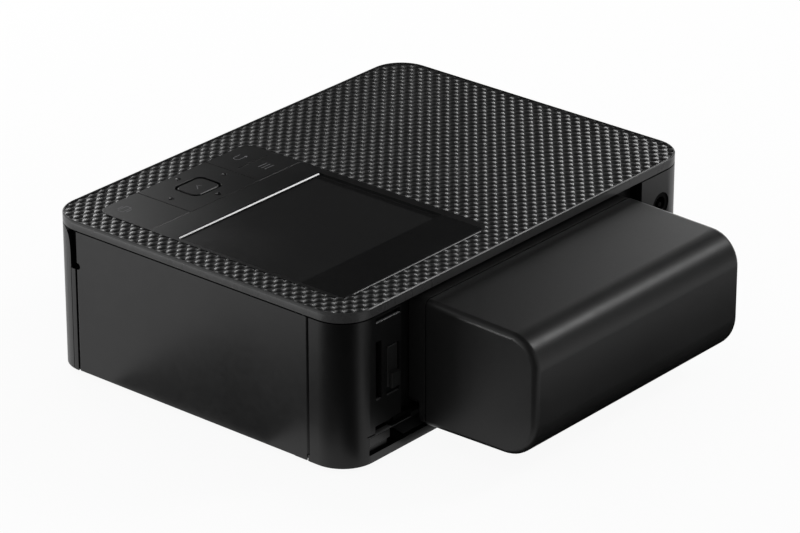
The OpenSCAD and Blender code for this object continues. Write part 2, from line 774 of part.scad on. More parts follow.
module chassis_left() color("#a5a7aa") placed() along_x(left_x, left_x + plate_t) difference() {
    chassis_outline();
    disc(takeup, bush_r);
    disc(idler, idler_axle_r);
}

module chassis_right() color("#a5a7aa") placed() along_x(right_x, right_x + plate_t) difference() {
    chassis_outline();
    cassette_window();
}

module shaft_bushes() color("#b08d57") placed() {
    for (p = [platen, capstan, pinch, pickup]) {
        along_x(left_x - 0.7, left_x + bush_t - 0.7) ring(p, bush_r, journal_r + fit);
        along_x(right_x + plate_t + 0.7 - bush_t, right_x + plate_t + 0.7) ring(p, bush_r, journal_r + fit);
    }
    along_x(left_x - 0.7, left_x + bush_t - 0.7) ring(takeup, bush_r, journal_r + fit);
}

module motor_bracket() color("#9b9da0") placed() {
    along_x(bracket_x, bracket_x + bracket_t) difference() {
        rect(chassis_front, chassis_rear + 2, bracket_low, body_h - cover_t - 2.6, 3);
        disc(feed_pinion_at, motor_boss_r);
        disc(ribbon_pinion_at, motor_boss_r);
        disc(idler, idler_axle_r);
    }
    for (p = bracket_posts) along_x(bracket_x + bracket_t - e, left_x) disc(p, post_r);
}

module head_pivot_shaft() color("#c4c4c8") placed()
    shaft(head_pivot, pivot_r, left_x - 0.5, right_x + plate_t + 0.5);

module idler_axle() color("#c4c4c8") placed()
    shaft(idler, idler_axle_r, bracket_x, left_x + plate_t);

module rear_paper_guide() color("#2b2b2d") placed() along_x(left_x + plate_t, right_x)
    polygon([[capstan.x + 5, path_z - 2.7], [half_d - wall - 0.1, base_top + 0.1],
             [half_d - wall - 0.1, slot_low], [capstan.x + 5, path_z - 1.5]]);

module motor(at, r) {
    along_x(motor_x0, bracket_x) disc(at, r);
    // Boss that centres the motor in the bracket, drilled for its shaft
    along_x(bracket_x - e, bracket_x + bracket_t) ring(at, motor_boss_r, motor_shaft_r + fit);
}

module feed_motor() color("#6f7276") placed() difference() {
    motor(feed_pinion_at, feed_motor_r);
    shaft(feed_pinion_at, motor_shaft_r + fit, bracket_x - 8, bracket_x + 2);
}

module ribbon_motor() color("#6f7276") placed() difference() {
    motor(ribbon_pinion_at, ribbon_motor_r);
    shaft(ribbon_pinion_at, motor_shaft_r + fit, bracket_x - 8, bracket_x + 2);
}

module main_board() color("#20502f") placed() {
    block([roll_x0 - 2, main_board_y, main_board_low],
          [roll_x1 - 2, main_board_y + board_thick, chassis_top]);
    for (p = [[-34, 14, 14], [-4, 8, 10], [20, 20, 12]])
        block([path_x + p[0], main_board_y - 1.2, main_board_low + p[1]],
              [path_x + p[0] + p[2], main_board_y + e, main_board_low + p[1] + p[2] * 0.8]);
    for (x = [roll_x0 + 4, path_x - 16, roll_x1 - 16])
        block([x, main_board_y - 3, main_board_low + 1], [x + 7, main_board_y + e, main_board_low + 5]);
}

module power_board() color("#7a5a2c") placed() {
    block([power_x0, power_y0, power_z], [power_x1, power_y1, power_z + board_t]);
    for (y = [power_y0 + 4, power_y1 - 4], x = [power_x0 + 3, power_x1 - 3])
        translate([x, y, base_top]) cylinder(h = power_stand_h + e, r = stand_r);
    for (i = [0:2]) translate([(power_x0 + power_x1) / 2, power_y0 + 11 + i * 3 * can_r, power_z + board_t - e])
        cylinder(h = can_h, r = can_r);
    block([power_x0 + 1, -5, power_z + board_t - e], [power_x1 - 1, 10, power_z + can_h - 2]);
}

// ---------- Print head ----------

module head_arm() color("#a5a7aa") placed() {
    difference() {
        block([left_x + 4, head_y - 6, arm_low], [right_x - 2.6, head_pivot.x - 6, arm_low + arm_t]);
        block([roll_x0 + 18, head_y + 10, arm_low - e],
              [roll_x1 - 20, head_pivot.x - 18, arm_low + arm_t + e]);
    }
    for (x = [left_x + 4, right_x - 2.6 - ear_t]) along_x(x, x + ear_t) difference() {
        union() {
            rect(head_pivot.x - 8, head_pivot.x, head_pivot.y - ear_r, head_pivot.y + ear_r);
            disc(head_pivot, ear_r);
        }
        disc(head_pivot, pivot_r + fit);
    }
}

module heat_sink() color("#b9bbbe") placed() {
    block([roll_x0, head_y - head_half, sink_low], [roll_x1, head_y + head_half, sink_low + 5]);
    for (y = [-head_half, -0.9, head_half - 1.8])
        block([roll_x0, head_y + y, sink_low + 5 - e], [roll_x1, head_y + y + 1.8, arm_low]);
}

module thermal_head() color("#e6e2d6") placed() {
    block([roll_x0, head_y - head_half, head_low + 0.5], [roll_x1, head_y + head_half, sink_low]);
    along_x(roll_x0 + 2, roll_x1 - 2) rect(head_y - 0.8, head_y + 0.8, head_low, head_low + 0.5 + e);
}

// ---------- Rollers ----------

module roller_shaft(at, r, reach_left)
    union() {
        shaft(at, r, roll_x0 - 4, roll_x1 + 1.5);
        shaft(at, journal_r, reach_left, right_x + plate_t + 0.7);
    }

module platen_shaft() color("#c4c4c8") placed() roller_shaft(platen, 2.4, left_x - 0.7);

module platen_sleeve() color("#2a2a2c") placed() along_x(roll_x0, roll_x1) ring(platen, platen_r, 2.4);

module capstan_roller() color("#c4c4c8") placed() roller_shaft(capstan, capstan_r, gear_x0);

module capstan_gear() color("#e4e0d2") placed() gear(capstan, capstan_teeth, idler_angle, journal_r);

module pinch_roller() color("#303032") placed() roller_shaft(pinch, capstan_r, left_x - 0.7);

module idler_gear() color("#e4e0d2") placed() gear(idler, idler_teeth, idler_phase, idler_axle_r + fit);

module pinion(at, teeth, phase) union() {
    gear(at, teeth, phase, motor_shaft_r);
    shaft(at, motor_shaft_r, bracket_x - 7, gear_x0 + gear_w);
}

module feed_pinion() color("#c8a85a") placed() pinion(feed_pinion_at, feed_pinion_teeth, feed_phase);

module ribbon_pinion() color("#c8a85a") placed() pinion(ribbon_pinion_at, ribbon_pinion_teeth, ribbon_phase);

module pickup_shaft() color("#c4c4c8") placed() roller_shaft(pickup, 2.2, gear_x0);

module pickup_tyres() color("#3a3a3c") placed()
    for (x = [path_x - 26, path_x + 10]) along_x(x, x + 16) ring(pickup, pickup_r, 2.2);

module pickup_gear() color("#e4e0d2") placed() gear(pickup, pickup_teeth, pickup_phase, journal_r);

module takeup_spindle() color("#c4c4c8") placed() {
    shaft(takeup, journal_r, gear_x0, cassette_x0 - 0.8);
    along_x(cassette_x0 - 1, cassette_x0 + socket_depth - 1) translate(takeup)
        square([drive_w, drive_t], center = true);
    shaft(takeup, 2.4, cassette_x0 - 2, cassette_x0 - 0.8);
}

module takeup_gear() color("#e4e0d2") placed() gear(takeup, takeup_teeth, pickup_angle, journal_r);

// ---------- Ink cassette ----------

module ink_cassette_shell() color("#3a3b3e") placed() {
    for (side = [[takeup, 1], [supply, -1]]) {
        tube = side[0];
        // Tube with a mouth for the film, facing the print head and down
        along_x(cassette_x0 + cap_t - e, cassette_x1 - grip_t + e) difference() {
            ring(tube, tube_r, tube_r - tube_wall);
            translate(tube) polygon([[0, 0], [side[1] * 16, 0], [side[1] * 16, -16], [0, -16]]);
        }
        // End cap that carries the spool
        along_x(cassette_x0, cassette_x0 + cap_t) ring(tube, tube_r, hub_r + fit);
    }
    // Bars across the gap, clear of the film and under the raised head
    along_x(cassette_x0, cassette_x0 + cap_t) difference() {
        rect(takeup.x, supply.x, film_z, film_z + 3.2);
        rect(capstan.x - 4.2, supply.x, film_z - 1, film_z + 4);
    }
    along_x(cassette_x0, cassette_x0 + cap_t) difference() {
        union() {
            rect(takeup.x + 5, takeup.x + 12, film_z, tube_z);
            // The supply side's leg stands clear of the pinch roller
            rect(supply.x - 13.2, supply.x - 10.6, film_z, tube_z);
            rect(supply.x - 13.2, supply.x - 8, pinch.y + capstan_r + 0.8, tube_z);
        }
        disc(takeup, hub_r + fit);
        disc(supply, hub_r + fit);
    }
    // Grip plate at the door end
    along_x(cassette_x1 - grip_t, cassette_x1) difference() {
        union() {
            disc(takeup, tube_r);
            disc(supply, tube_r);
            rect(takeup.x, supply.x - 10.4, film_z, tube_z + tube_r);
            rect(supply.x - 10.6, supply.x, tube_z - tube_r, tube_z + tube_r);
        }
        disc(takeup, hub_r + fit);
        disc(supply, hub_r + fit);
    }
}

module spool(at, roll_r) {
    shaft(at, core_r, cassette_x0 + cap_t + 0.4, cassette_x1 - grip_t - 0.4);
    shaft(at, hub_r, cassette_x0 + 0.2, cassette_x1 - 1);
    shaft(at, roll_r, roll_x0 + 2, roll_x1 - 2);
}

module supply_spool() color("#8a3f6a") placed() spool(supply, supply_roll_r);

module takeup_spool() color("#c9b23c") placed() difference() {
    spool(takeup, takeup_roll_r);
    along_x(cassette_x0 - 1, cassette_x0 + socket_depth) translate(takeup)
        square([drive_w + 2 * drive_gap, drive_t + 2 * drive_gap], center = true);
}

module ribbon_film() color("#6a2a52") placed() along_x(roll_x0 + 4, roll_x1 - 4) {
    rect(-8, 8, film_z, film_z + film_t);
    polygon([[-8, film_z], [-8, film_z + film_t], [takeup.x + 6.2, tube_z - 6.6], [takeup.x + 6, tube_z - 6.6]]);
    polygon([[8, film_z], [8, film_z + film_t], [supply.x - 8.6, tube_z - 6.6], [supply.x - 8.4, tube_z - 6.6]]);
}

// ---------- Battery pack ----------

// The pack's profile seen along X, moved inwards. Its top falls and its
// underside rises a little towards the rear.
module pack_profile(inset) hull() {
    front = pack_front + pack_plate_t;
    rect(front + inset, front + inset + 2, pack_low + inset, pack_top - inset);
    disc([pack_rear - pack_top_r, pack_top - pack_taper - pack_top_r], pack_top_r - inset);
    disc([pack_rear - pack_low_r, pack_low + pack_rise + pack_low_r], pack_low_r - inset);
}

module battery_case() color("#1d1d1f") placed() difference() {
    along_x(-pack_l / 2, pack_l / 2) pack_profile(0);
    along_x(-pack_l / 2 + pack_wall, pack_l / 2 - pack_wall) pack_profile(pack_wall);
    block([-pack_l / 2 + pack_wall, pack_front + pack_plate_t - 1, pack_low + pack_wall],
          [pack_l / 2 - pack_wall, pack_front + pack_plate_t + pack_wall + 1, pack_top - pack_wall]);
}

module battery_plate() color("#1d1d1f") placed() difference() {
    union() {
        along_y(pack_front, pack_front + pack_plate_t)
            rect(-pack_l / 2, pack_l / 2, pack_low, pack_top, 3);
        along_y(pack_front - neck_depth, pack_front + e)
            rect(-pack_l / 2, pack_l / 2, neck_low, pack_top, 3);
    }
    // Socket that takes the bay's contacts
    along_y(pack_front - neck_depth - e, pack_front - 1)
        rect(-contact_w / 2 - contact_gap, contact_w / 2 + contact_gap,
             contact_z - contact_h / 2 - contact_gap, contact_z + contact_h / 2 + contact_gap);
}

// Two rows of three cells, each row nested in a triangle on the pack's floor
module battery_cells() color("#3f6fa8") placed()
    for (x = [-cell_l - cell_gap, cell_gap], p = [[0, 0], polar(cell_pitch, 90), polar(cell_pitch, 30)])
        shaft(cell_low + p, cell_r, x, x + cell_l);

body_shell();
base_plate();
top_cover();
panel_bezel();
screen_window();
lcd_module();
key_board();
battery_bay();
battery_contacts();
rubber_feet();
case_screws();
dc_jack();
card_slot();
usb_port();
chassis_floor();
chassis_left();
chassis_right();
motor_bracket();
shaft_bushes();
head_pivot_shaft();
idler_axle();
rear_paper_guide();
main_board();
power_board();
feed_motor();
ribbon_motor();
ink_door_pins();
paper_door_pins();
ink_door();
paper_door();
print_key();
nav_pad();
ok_key();
menu_rocker();
release_lever();
head_arm();
heat_sink();
thermal_head();
platen_shaft();
platen_sleeve();
capstan_roller();
capstan_gear();
pinch_roller();
idler_gear();
feed_pinion();
pickup_shaft();
pickup_tyres();
pickup_gear();
takeup_spindle();
takeup_gear();
ribbon_pinion();
ink_cassette_shell();
supply_spool();
takeup_spool();
ribbon_film();
battery_case();
battery_plate();
battery_cells();
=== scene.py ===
"""Compact photo printer: the finishes and fine shapes laid over its solids. Lengths are in metres."""

import math

import bpy
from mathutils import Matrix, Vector


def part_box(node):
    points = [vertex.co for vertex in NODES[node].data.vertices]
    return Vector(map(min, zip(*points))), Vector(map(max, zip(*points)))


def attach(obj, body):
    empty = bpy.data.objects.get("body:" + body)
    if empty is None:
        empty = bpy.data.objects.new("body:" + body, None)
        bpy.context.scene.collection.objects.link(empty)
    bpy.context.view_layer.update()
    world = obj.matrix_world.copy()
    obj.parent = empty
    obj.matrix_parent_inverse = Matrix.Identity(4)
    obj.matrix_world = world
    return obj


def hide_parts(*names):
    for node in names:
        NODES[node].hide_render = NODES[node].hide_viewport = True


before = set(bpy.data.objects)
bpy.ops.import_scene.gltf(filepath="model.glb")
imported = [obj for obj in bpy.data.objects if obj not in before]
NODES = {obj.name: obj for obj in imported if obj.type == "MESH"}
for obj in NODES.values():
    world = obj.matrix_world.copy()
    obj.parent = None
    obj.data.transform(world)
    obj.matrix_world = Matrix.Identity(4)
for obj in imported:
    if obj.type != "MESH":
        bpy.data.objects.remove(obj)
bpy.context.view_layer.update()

MM = 0.001

# How close to a plane a point counts as on it, and how far a cutting tool stands out of what it cuts
NEAR = 0.02 * MM
OUT = 1 * MM
# A hair, by which one flat stays clear of another
HAIR = 0.01 * MM

# Places taken from the solids
CASE_LOW, CASE_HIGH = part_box("top_cover")
SHELL_LOW, SHELL_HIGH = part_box("body_shell")
PANEL_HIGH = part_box("panel_bezel")[1]
PRINT_LOW, PRINT_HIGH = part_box("print_key")
NAV_LOW, NAV_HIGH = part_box("nav_pad")
OK_LOW, OK_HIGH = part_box("ok_key")
MENU_LOW, MENU_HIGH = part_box("menu_rocker")
WINDOW_LOW, WINDOW_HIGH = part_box("screen_window")
LCD_LOW, LCD_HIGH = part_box("lcd_module")
PACK_LOW, PACK_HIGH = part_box("battery_case")
DOOR_LOW, DOOR_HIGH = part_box("ink_door")
LEVER_LOW, LEVER_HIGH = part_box("release_lever")
BASE_LOW, BASE_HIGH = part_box("base_plate")

TOP_Z = CASE_HIGH[2]
WALL_X, WALL_Y = SHELL_HIGH[0], SHELL_HIGH[1]

# The control panel, whose outline runs a gap outside its keys
KEY_GAP = 0.2 * MM
PANEL_FRONT = MENU_LOW[1] - KEY_GAP
PANEL_LEFT = MENU_LOW[0] - KEY_GAP
PANEL_RIGHT = PRINT_HIGH[0] + KEY_GAP
PANEL_REAR = PANEL_HIGH[1] - 1.5 * MM
PANEL_CORNER = 5.6 * MM

# The case's corners seen from above, and its rim: the bead round the top and the slope under it
CASE_CORNER = 12.4 * MM
RIM_EDGE = 0.55 * MM
RIM_CHAMFER = 0.45 * MM
BEAD_RISE = 0.2 * MM
BEAD_SLOPE = 0.3 * MM
BEAD_GAP = 0.03 * MM
BEAD_STEPS = 16

# The edges of moulded pieces: the case's flats, and the keys' tops
CASE_ROUND = 0.25 * MM
KEY_ROUND = 0.12 * MM

# The dark seam under the rim, of which the door's own gap is a part
RIM_SEAM = 0.45 * MM
DOOR_GAP = 0.2 * MM

# The marks of the direction pad, from its middle
NAV_REACH_X = 13.4 * MM
NAV_REACH_Y = 9.4 * MM

# The signs on the keys: their line, how thick they are, and the sides of the print key's sheet
MARK_LINE = 0.28 * MM
MARK_RISE = 0.06 * MM
SHEET_W = 4.4 * MM
SHEET_H = 2.2 * MM
SHORT_BAR = 2.6 * MM

# Deeper than the case's wall
THROUGH = 3 * MM

# The rear paper slot, its rounded lower corners, and the stop at each of its ends
SLOT_X = 80.0 * MM
SLOT_LOW = 5.1 * MM
SLOT_TOP = 11.5 * MM
SLOT_ROUND = 1.3 * MM
STOP_W = 10.5 * MM
STOP_H = 3.4 * MM

# The shelf over the paper slot, and the groove along it
SHELF_Z = 11.9 * MM
GROOVE_H = 0.4 * MM
GROOVE_DEPTH = 0.55 * MM

# The narrow slots round the release lever
SIDE_SLOT = (73.9 * MM, 76.7 * MM)
SIDE_SLOT_LOW = SHELL_HIGH[2] - 30.3 * MM
UPPER_SLOT = (64.7 * MM, 76.7 * MM)
UPPER_SLOT_LOW = SHELL_HIGH[2] - 2.8 * MM
UPPER_SLOT_H = 1.7 * MM
UPPER_SLOT_DEPTH = 1.9 * MM
LEVER_WINDOW = (65.2 * MM, 71.4 * MM)
LEVER_WINDOW_LOW = SHELL_HIGH[2] - 30.4 * MM

# The battery bay, and the step in its lower corner, beside the pack
BAY_X = 64.1 * MM
BAY_STEP_X = 59.2 * MM
BAY_STEP_Z = 15.0 * MM

# The finger notch before the ink door, the seam that runs down from it, and the round pocket in the door
NOTCH_FRONT = DOOR_LOW[1] - 2.4 * MM
NOTCH_REAR = DOOR_LOW[1] + 1.8 * MM
NOTCH_LOW = SHELL_HIGH[2] - 14.4 * MM
NOTCH_WIDENED = 1.3 * MM
FLARE_DEPTH = 2.9 * MM
SEAM_W = 0.3 * MM
SEAM_DEPTH = 0.75 * MM
POCKET_R = 1.2 * MM

# The side door's hinge axis, in from its two faces, and the skirt that hides the lug under it
DOOR_PIN_IN = 1.3 * MM
DOOR_PIN_BACK = 2.6 * MM
SKIRT = 0.45 * MM

# Where the sunk window ends and the level band begins
SCREEN_REAR = LCD_HIGH[1] + 0.2 * MM

# How much wider the ring round the OK key is than its running gap
OK_RING = 0.45 * MM

# The battery pack's rolled edges, and how far its rear edges lean in
PACK_TOP_ROLL = 11 * MM
PACK_LOW_ROLL = 13.4 * MM
PACK_END_ROLL = 2.3 * MM
PACK_FALL = 1.4 * MM
PACK_RISE = 0.9 * MM
PACK_SEAM = 0.5 * MM

# How far the floor is plain white to the camera and in reflections
FLOOR_WHITE = 0.93

# The studs that cover the top: a staggered lattice of low four-sided pyramids with rounded ridges
STUD_PITCH_X = 5.2 * MM
STUD_PITCH_Y = 4.28 * MM
STUD_HEIGHT = 0.68 * MM
STUD_SEAT = 0.3 * MM
STUD_ROUND = 0.42
# A stud with less than this left inside the border is dropped
STUD_SCRAP = 0.2 * MM
# The middle of one stud, which sets the whole lattice
STUD_PHASE = (84.35 * MM, 37.45 * MM)

# The camera, and the spot that every lamp faces
CAMERA_LENS = 187.348
CAMERA_PLACE = (0.99079, 0.82520, 0.62521)
CAMERA_TARGET = (0.00039, -0.012223, 0.0288)
LAMP_TARGET = (0, 0, 0.03)


# ---------- Working on a mesh ----------

def pick(piece):
    """Only this piece is selected and active."""
    bpy.ops.object.select_all(action="DESELECT")
    piece.select_set(True)
    bpy.context.view_layer.objects.active = piece


def edit_with(piece, kind, wanted):
    """Edit mode, with the vertices, edges or faces selected that wanted() accepts."""
    pick(piece)
    bpy.ops.object.mode_set(mode="EDIT")
    bpy.ops.mesh.select_mode(type=kind)
    bpy.ops.mesh.select_all(action="DESELECT")
    bpy.ops.object.mode_set(mode="OBJECT")
    mesh = piece.data
    items = {"VERT": mesh.vertices, "EDGE": mesh.edges, "FACE": mesh.polygons}[kind]
    for item in items:
        item.select = wanted(item)
    bpy.ops.object.mode_set(mode="EDIT")


def leave_edit():
    bpy.ops.object.mode_set(mode="OBJECT")


def apply_modifiers(piece):
    pick(piece)
    for modifier in list(piece.modifiers):
        bpy.ops.object.modifier_apply(modifier=modifier.name)


def smooth(piece, degrees=32):
    pick(piece)
    bpy.ops.object.shade_smooth_by_angle(angle=math.radians(degrees))


def settle(piece):
    """The piece's place goes into its mesh."""
    pick(piece)
    bpy.ops.object.transform_apply(location=True, rotation=True, scale=True)


def join(pieces, name):
    bpy.ops.object.select_all(action="DESELECT")
    for piece in pieces:
        piece.select_set(True)
    bpy.context.view_layer.objects.active = pieces[0]
    bpy.ops.object.join()
    joined = bpy.context.view_layer.objects.active
    joined.name = name
    joined.data.name = name
    settle(joined)
    return joined


def added(name):
    piece = bpy.context.active_object
    piece.name = name
    piece.data.name = name
    return piece


def solid_copy(node, name):
    """A merged copy of a solid's mesh, with its flat faces whole."""
    piece = bpy.data.objects.new(name, NODES[node].data.copy())
    bpy.context.scene.collection.objects.link(piece)
    edit_with(piece, "VERT", lambda vertex: True)
    bpy.ops.mesh.remove_doubles(threshold=0.002 * MM)
    bpy.ops.mesh.dissolve_limited(angle_limit=math.radians(1.5))
    leave_edit()
    return piece


def level(piece, degrees=35):
    """Smooth shading that keeps the flats flat."""
    edit_with(piece, "VERT", lambda vertex: True)
    bpy.ops.mesh.dissolve_limited(angle_limit=math.radians(0.5))
    leave_edit()
    smooth(piece, degrees)
    weights = piece.modifiers.new("flat faces", "WEIGHTED_NORMAL")
    weights.weight = 100
    weights.keep_sharp = True
    apply_modifiers(piece)


def round_edges(piece, width, segments=2, degrees=35):
    """Rounds every edge sharper than the angle."""
    smooth(piece, degrees)
    bevel = piece.modifiers.new("rounded edges", "BEVEL")
    bevel.width = width
    bevel.segments = segments
    bevel.limit_method = "ANGLE"
    bevel.angle_limit = math.radians(degrees)
    bevel.use_clamp_overlap = True
    apply_modifiers(piece)
    level(piece, degrees)


def at_level(axis, *levels):
    """Accepts a place that lies at one of the levels along an axis."""
    return lambda place: any(abs(place[axis] - number) < NEAR for number in levels)


def inside(low, high):
    """Accepts a place between two corners."""
    return lambda place: all(a <= number <= b for a, number, b in zip(low, place, high))


def middle_of(low, high):
    return [(a + b) / 2 for a, b in zip(low, high)]


def move(piece, wanted, step):
    """Moves the vertices whose place wanted() accepts."""
    edit_with(piece, "VERT", lambda vertex: wanted(vertex.co))
    bpy.ops.transform.translate(value=step)
    leave_edit()


def stretch(piece, wanted, factors, centre):
    """Scales the vertices whose place wanted() accepts, about a centre."""
    edit_with(piece, "VERT", lambda vertex: wanted(vertex.co))
    bpy.ops.transform.resize(value=factors, center_override=centre)
    leave_edit()


def pull_out(piece, step):
    """Makes a flat piece a solid: all its faces are extruded by the step."""
    edit_with(piece, "FACE", lambda face: True)
    bpy.ops.mesh.extrude_region_move(TRANSFORM_OT_translate={"value": step})
    bpy.ops.mesh.select_all(action="SELECT")
    bpy.ops.mesh.normals_make_consistent(inside=False)
    leave_edit()


def round_where(piece, wanted, width, segments=2, along=None, degrees=35):
    """Rounds the sharp edges whose two ends wanted() accepts, or only those that run along one axis."""
    pick(piece)
    bpy.ops.object.mode_set(mode="EDIT")
    bpy.ops.mesh.select_mode(type="EDGE")
    bpy.ops.mesh.select_all(action="DESELECT")
    bpy.ops.mesh.edges_select_sharp(sharpness=math.radians(degrees))
    bpy.ops.object.mode_set(mode="OBJECT")
    verts = piece.data.vertices
    for edge in piece.data.edges:
        a, b = (verts[i].co for i in edge.vertices)
        runs = along is None or abs((a - b)[along]) > 0.95 * (a - b).length
        edge.select = edge.select and runs and wanted(a) and wanted(b)
    bpy.ops.object.mode_set(mode="EDIT")
    bpy.ops.mesh.bevel(offset=width, segments=segments, affect="EDGES", clamp_overlap=True)
    leave_edit()


def block(low, high, name="block"):
    """A block between two corners."""
    bpy.ops.mesh.primitive_cube_add(size=1.0)
    piece = added(name)
    piece.location = middle_of(low, high)
    piece.scale = [b - a for a, b in zip(low, high)]
    settle(piece)
    return piece


def cut(piece, tool, operation="DIFFERENCE"):
    """Takes the tool's shape out of the piece, or adds it."""
    taking = piece.modifiers.new("cut", "BOOLEAN")
    taking.operation = operation
    taking.solver = "EXACT"
    taking.object = tool
    apply_modifiers(piece)
    bpy.data.objects.remove(tool, do_unlink=True)


def stand_for(piece, material, body, *nodes):
    """The piece gets its finish, and is seen in place of the solids."""
    finish(piece, material)
    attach(piece, body)
    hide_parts(*nodes)


def softened(node, name, body, width, material, segments=2, wanted=None):
    """A solid with its edges rounded as a mould rounds them, or only those that wanted() accepts."""
    piece = solid_copy(node, name)
    if wanted is None:
        round_edges(piece, width, segments)
    else:
        round_where(piece, wanted, width, segments)
        level(piece)
    stand_for(piece, material, body, node)


def finish(piece, material):
    piece.data.materials.clear()
    piece.data.materials.append(material)


# ---------- Shader groups ----------

def feed(tree, socket, value):
    """A number or a colour is set in the socket, and an output is linked to it."""
    if isinstance(value, (int, float)):
        socket.default_value = value
    elif isinstance(value, tuple):
        socket.default_value = (*value, 1.0)
    else:
        tree.links.new(value, socket)


def new_group(name, inputs):
    """A shader group for a skin: it has float inputs, as (name, default), and three outputs."""
    group = bpy.data.node_groups.new(name, "ShaderNodeTree")
    for label, value in inputs:
        socket = group.interface.new_socket(label, in_out="INPUT", socket_type="NodeSocketFloat")
        socket.default_value = value
    for label in ("Height", "Roughness", "Tone"):
        group.interface.new_socket(label, in_out="OUTPUT", socket_type="NodeSocketFloat")
    return group, group.nodes.new("NodeGroupInput").outputs, group.nodes.new("NodeGroupOutput").inputs


def math_node(tree, operation, first, second):
    node = tree.nodes.new("ShaderNodeMath")
    node.operation = operation
    feed(tree, node.inputs[0], first)
    feed(tree, node.inputs[1], second)
    return node.outputs[0]


def noise_node(tree, place, scale, detail=2.0, rough=0.5):
    node = tree.nodes.new("ShaderNodeTexNoise")
    for label, value in (("Vector", place), ("Scale", scale), ("Detail", detail), ("Roughness", rough)):
        feed(tree, node.inputs[label], value)
    return node.outputs["Fac"]


def spread(tree, value, low, high, new_low, new_high):
    """Maps the range from low to high onto new_low to new_high, and stays inside it."""
    node = tree.nodes.new("ShaderNodeMapRange")
    node.clamp = True
    for label, number in (("Value", value), ("From Min", low), ("From Max", high),
                          ("To Min", new_low), ("To Max", new_high)):
        feed(tree, node.inputs[label], number)
    return node.outputs["Result"]


def make_grain_group():
    """Fine pitted grain of a moulded skin, and the slow change of its gloss."""
    group, given, out = new_group(
        "moulded grain", [("Grain per metre", 2600.0), ("Gloss low", 0.4), ("Gloss high", 0.5)])
    place = group.nodes.new("ShaderNodeTexCoord").outputs["Object"]
    pits = noise_node(group, place, given["Grain per metre"], 3.0, 0.6)
    slow = noise_node(group, place, 28.0, 2.0)
    fine = noise_node(group, place, 420.0, 3.0)
    blend = math_node(group, "ADD", math_node(group, "MULTIPLY", slow, 0.6),
                      math_node(group, "MULTIPLY", fine, 0.4))
    feed(group, out["Height"], pits)
    feed(group, out["Roughness"], spread(group, blend, 0.35, 0.65, given["Gloss low"], given["Gloss high"]))
    feed(group, out["Tone"], spread(group, blend, 0.3, 0.7, 0.0, 1.0))
    return group


def make_streak_group():
    """Fine streaks along one axis, as rolled, turned or brushed metal has."""
    group, given, out = new_group(
        "metal streaks", [("Along X", 60.0), ("Along Y", 2400.0), ("Along Z", 2400.0),
                          ("Gloss low", 0.25), ("Gloss high", 0.4)])
    place = group.nodes.new("ShaderNodeTexCoord").outputs["Object"]
    scale = group.nodes.new("ShaderNodeCombineXYZ")
    for axis in "XYZ":
        feed(group, scale.inputs[axis], given["Along " + axis])
    drawn = group.nodes.new("ShaderNodeVectorMath")
    drawn.operation = "MULTIPLY"
    feed(group, drawn.inputs[0], place)
    feed(group, drawn.inputs[1], scale.outputs[0])
    streaks = noise_node(group, drawn.outputs[0], 1.0, 3.0, 0.6)
    cloud = noise_node(group, place, 45.0, 2.0)
    feed(group, out["Height"], streaks)
    feed(group, out["Roughness"], spread(group, streaks, 0.3, 0.7, given["Gloss low"], given["Gloss high"]))
    feed(group, out["Tone"], math_node(group, "MULTIPLY", math_node(group, "ADD", streaks, cloud), 0.5))
    return group


GRAIN = make_grain_group()
STREAKS = make_streak_group()


# ---------- Materials ----------

def new_material(name):
    material = bpy.data.materials.new(name)
    material.use_nodes = True
    tree = material.node_tree
    return material, tree, tree.nodes["Principled BSDF"]


def use_group(tree, group, values):
    node = tree.nodes.new("ShaderNodeGroup")
    node.node_tree = group
    for label, value in values.items():
        node.inputs[label].default_value = value
    return node


def mix_colour(tree, factor, first, second):
    node = tree.nodes.new("ShaderNodeMix")
    node.data_type = "RGBA"
    # The inputs and the output of a mix of colours, which share their names with those of other kinds
    for number, value in ((0, factor), (6, first), (7, second)):
        feed(tree, node.inputs[number], value)
    return node.outputs[2]


def clothe(tree, shader, tint, skin, relief, strength, depth):
    """The shader takes a tint, a skin's gloss and a relief."""
    bump = tree.nodes.new("ShaderNodeBump")
    for socket, value in ((bump.inputs["Strength"], strength), (bump.inputs["Distance"], depth),
                          (bump.inputs["Height"], relief), (shader.inputs["Normal"], bump.outputs["Normal"]),
                          (shader.inputs["Base Color"], tint),
                          (shader.inputs["Roughness"], skin.outputs["Roughness"])):
        feed(tree, socket, value)


def shade(colour, change):
    return tuple(channel * change for channel in colour)


def moulded(name, colour, gloss, grain=2600.0, depth=0.02 * MM, ior=1.45, coat=0.0, contrast=0.12):
    """Moulded plastic or rubber: gloss is its roughness, low and high."""
    material, tree, shader = new_material(name)
    skin = use_group(tree, GRAIN, {"Grain per metre": grain, "Gloss low": gloss[0], "Gloss high": gloss[1]})
    tint = mix_colour(tree, skin.outputs["Tone"], shade(colour, 1 - contrast), shade(colour, 1 + contrast))
    clothe(tree, shader, tint, skin, skin.outputs["Height"], 0.5, depth)
    shader.inputs["IOR"].default_value = ior
    shader.inputs["Coat Weight"].default_value = coat
    return material


def metal(name, colour, gloss, along=(60.0, 2400.0, 2400.0), depth=0.006 * MM):
    """Bare metal with streaks: the axis with the small number is the way that they run."""
    material, tree, shader = new_material(name)
    skin = use_group(tree, STREAKS, {"Along X": along[0], "Along Y": along[1], "Along Z": along[2],
                                     "Gloss low": gloss[0], "Gloss high": gloss[1]})
    tint = mix_colour(tree, skin.outputs["Tone"], shade(colour, 0.8), shade(colour, 1.1))
    clothe(tree, shader, tint, skin, skin.outputs["Height"], 0.4, depth)
    shader.inputs["Metallic"].default_value = 1.0
    return material


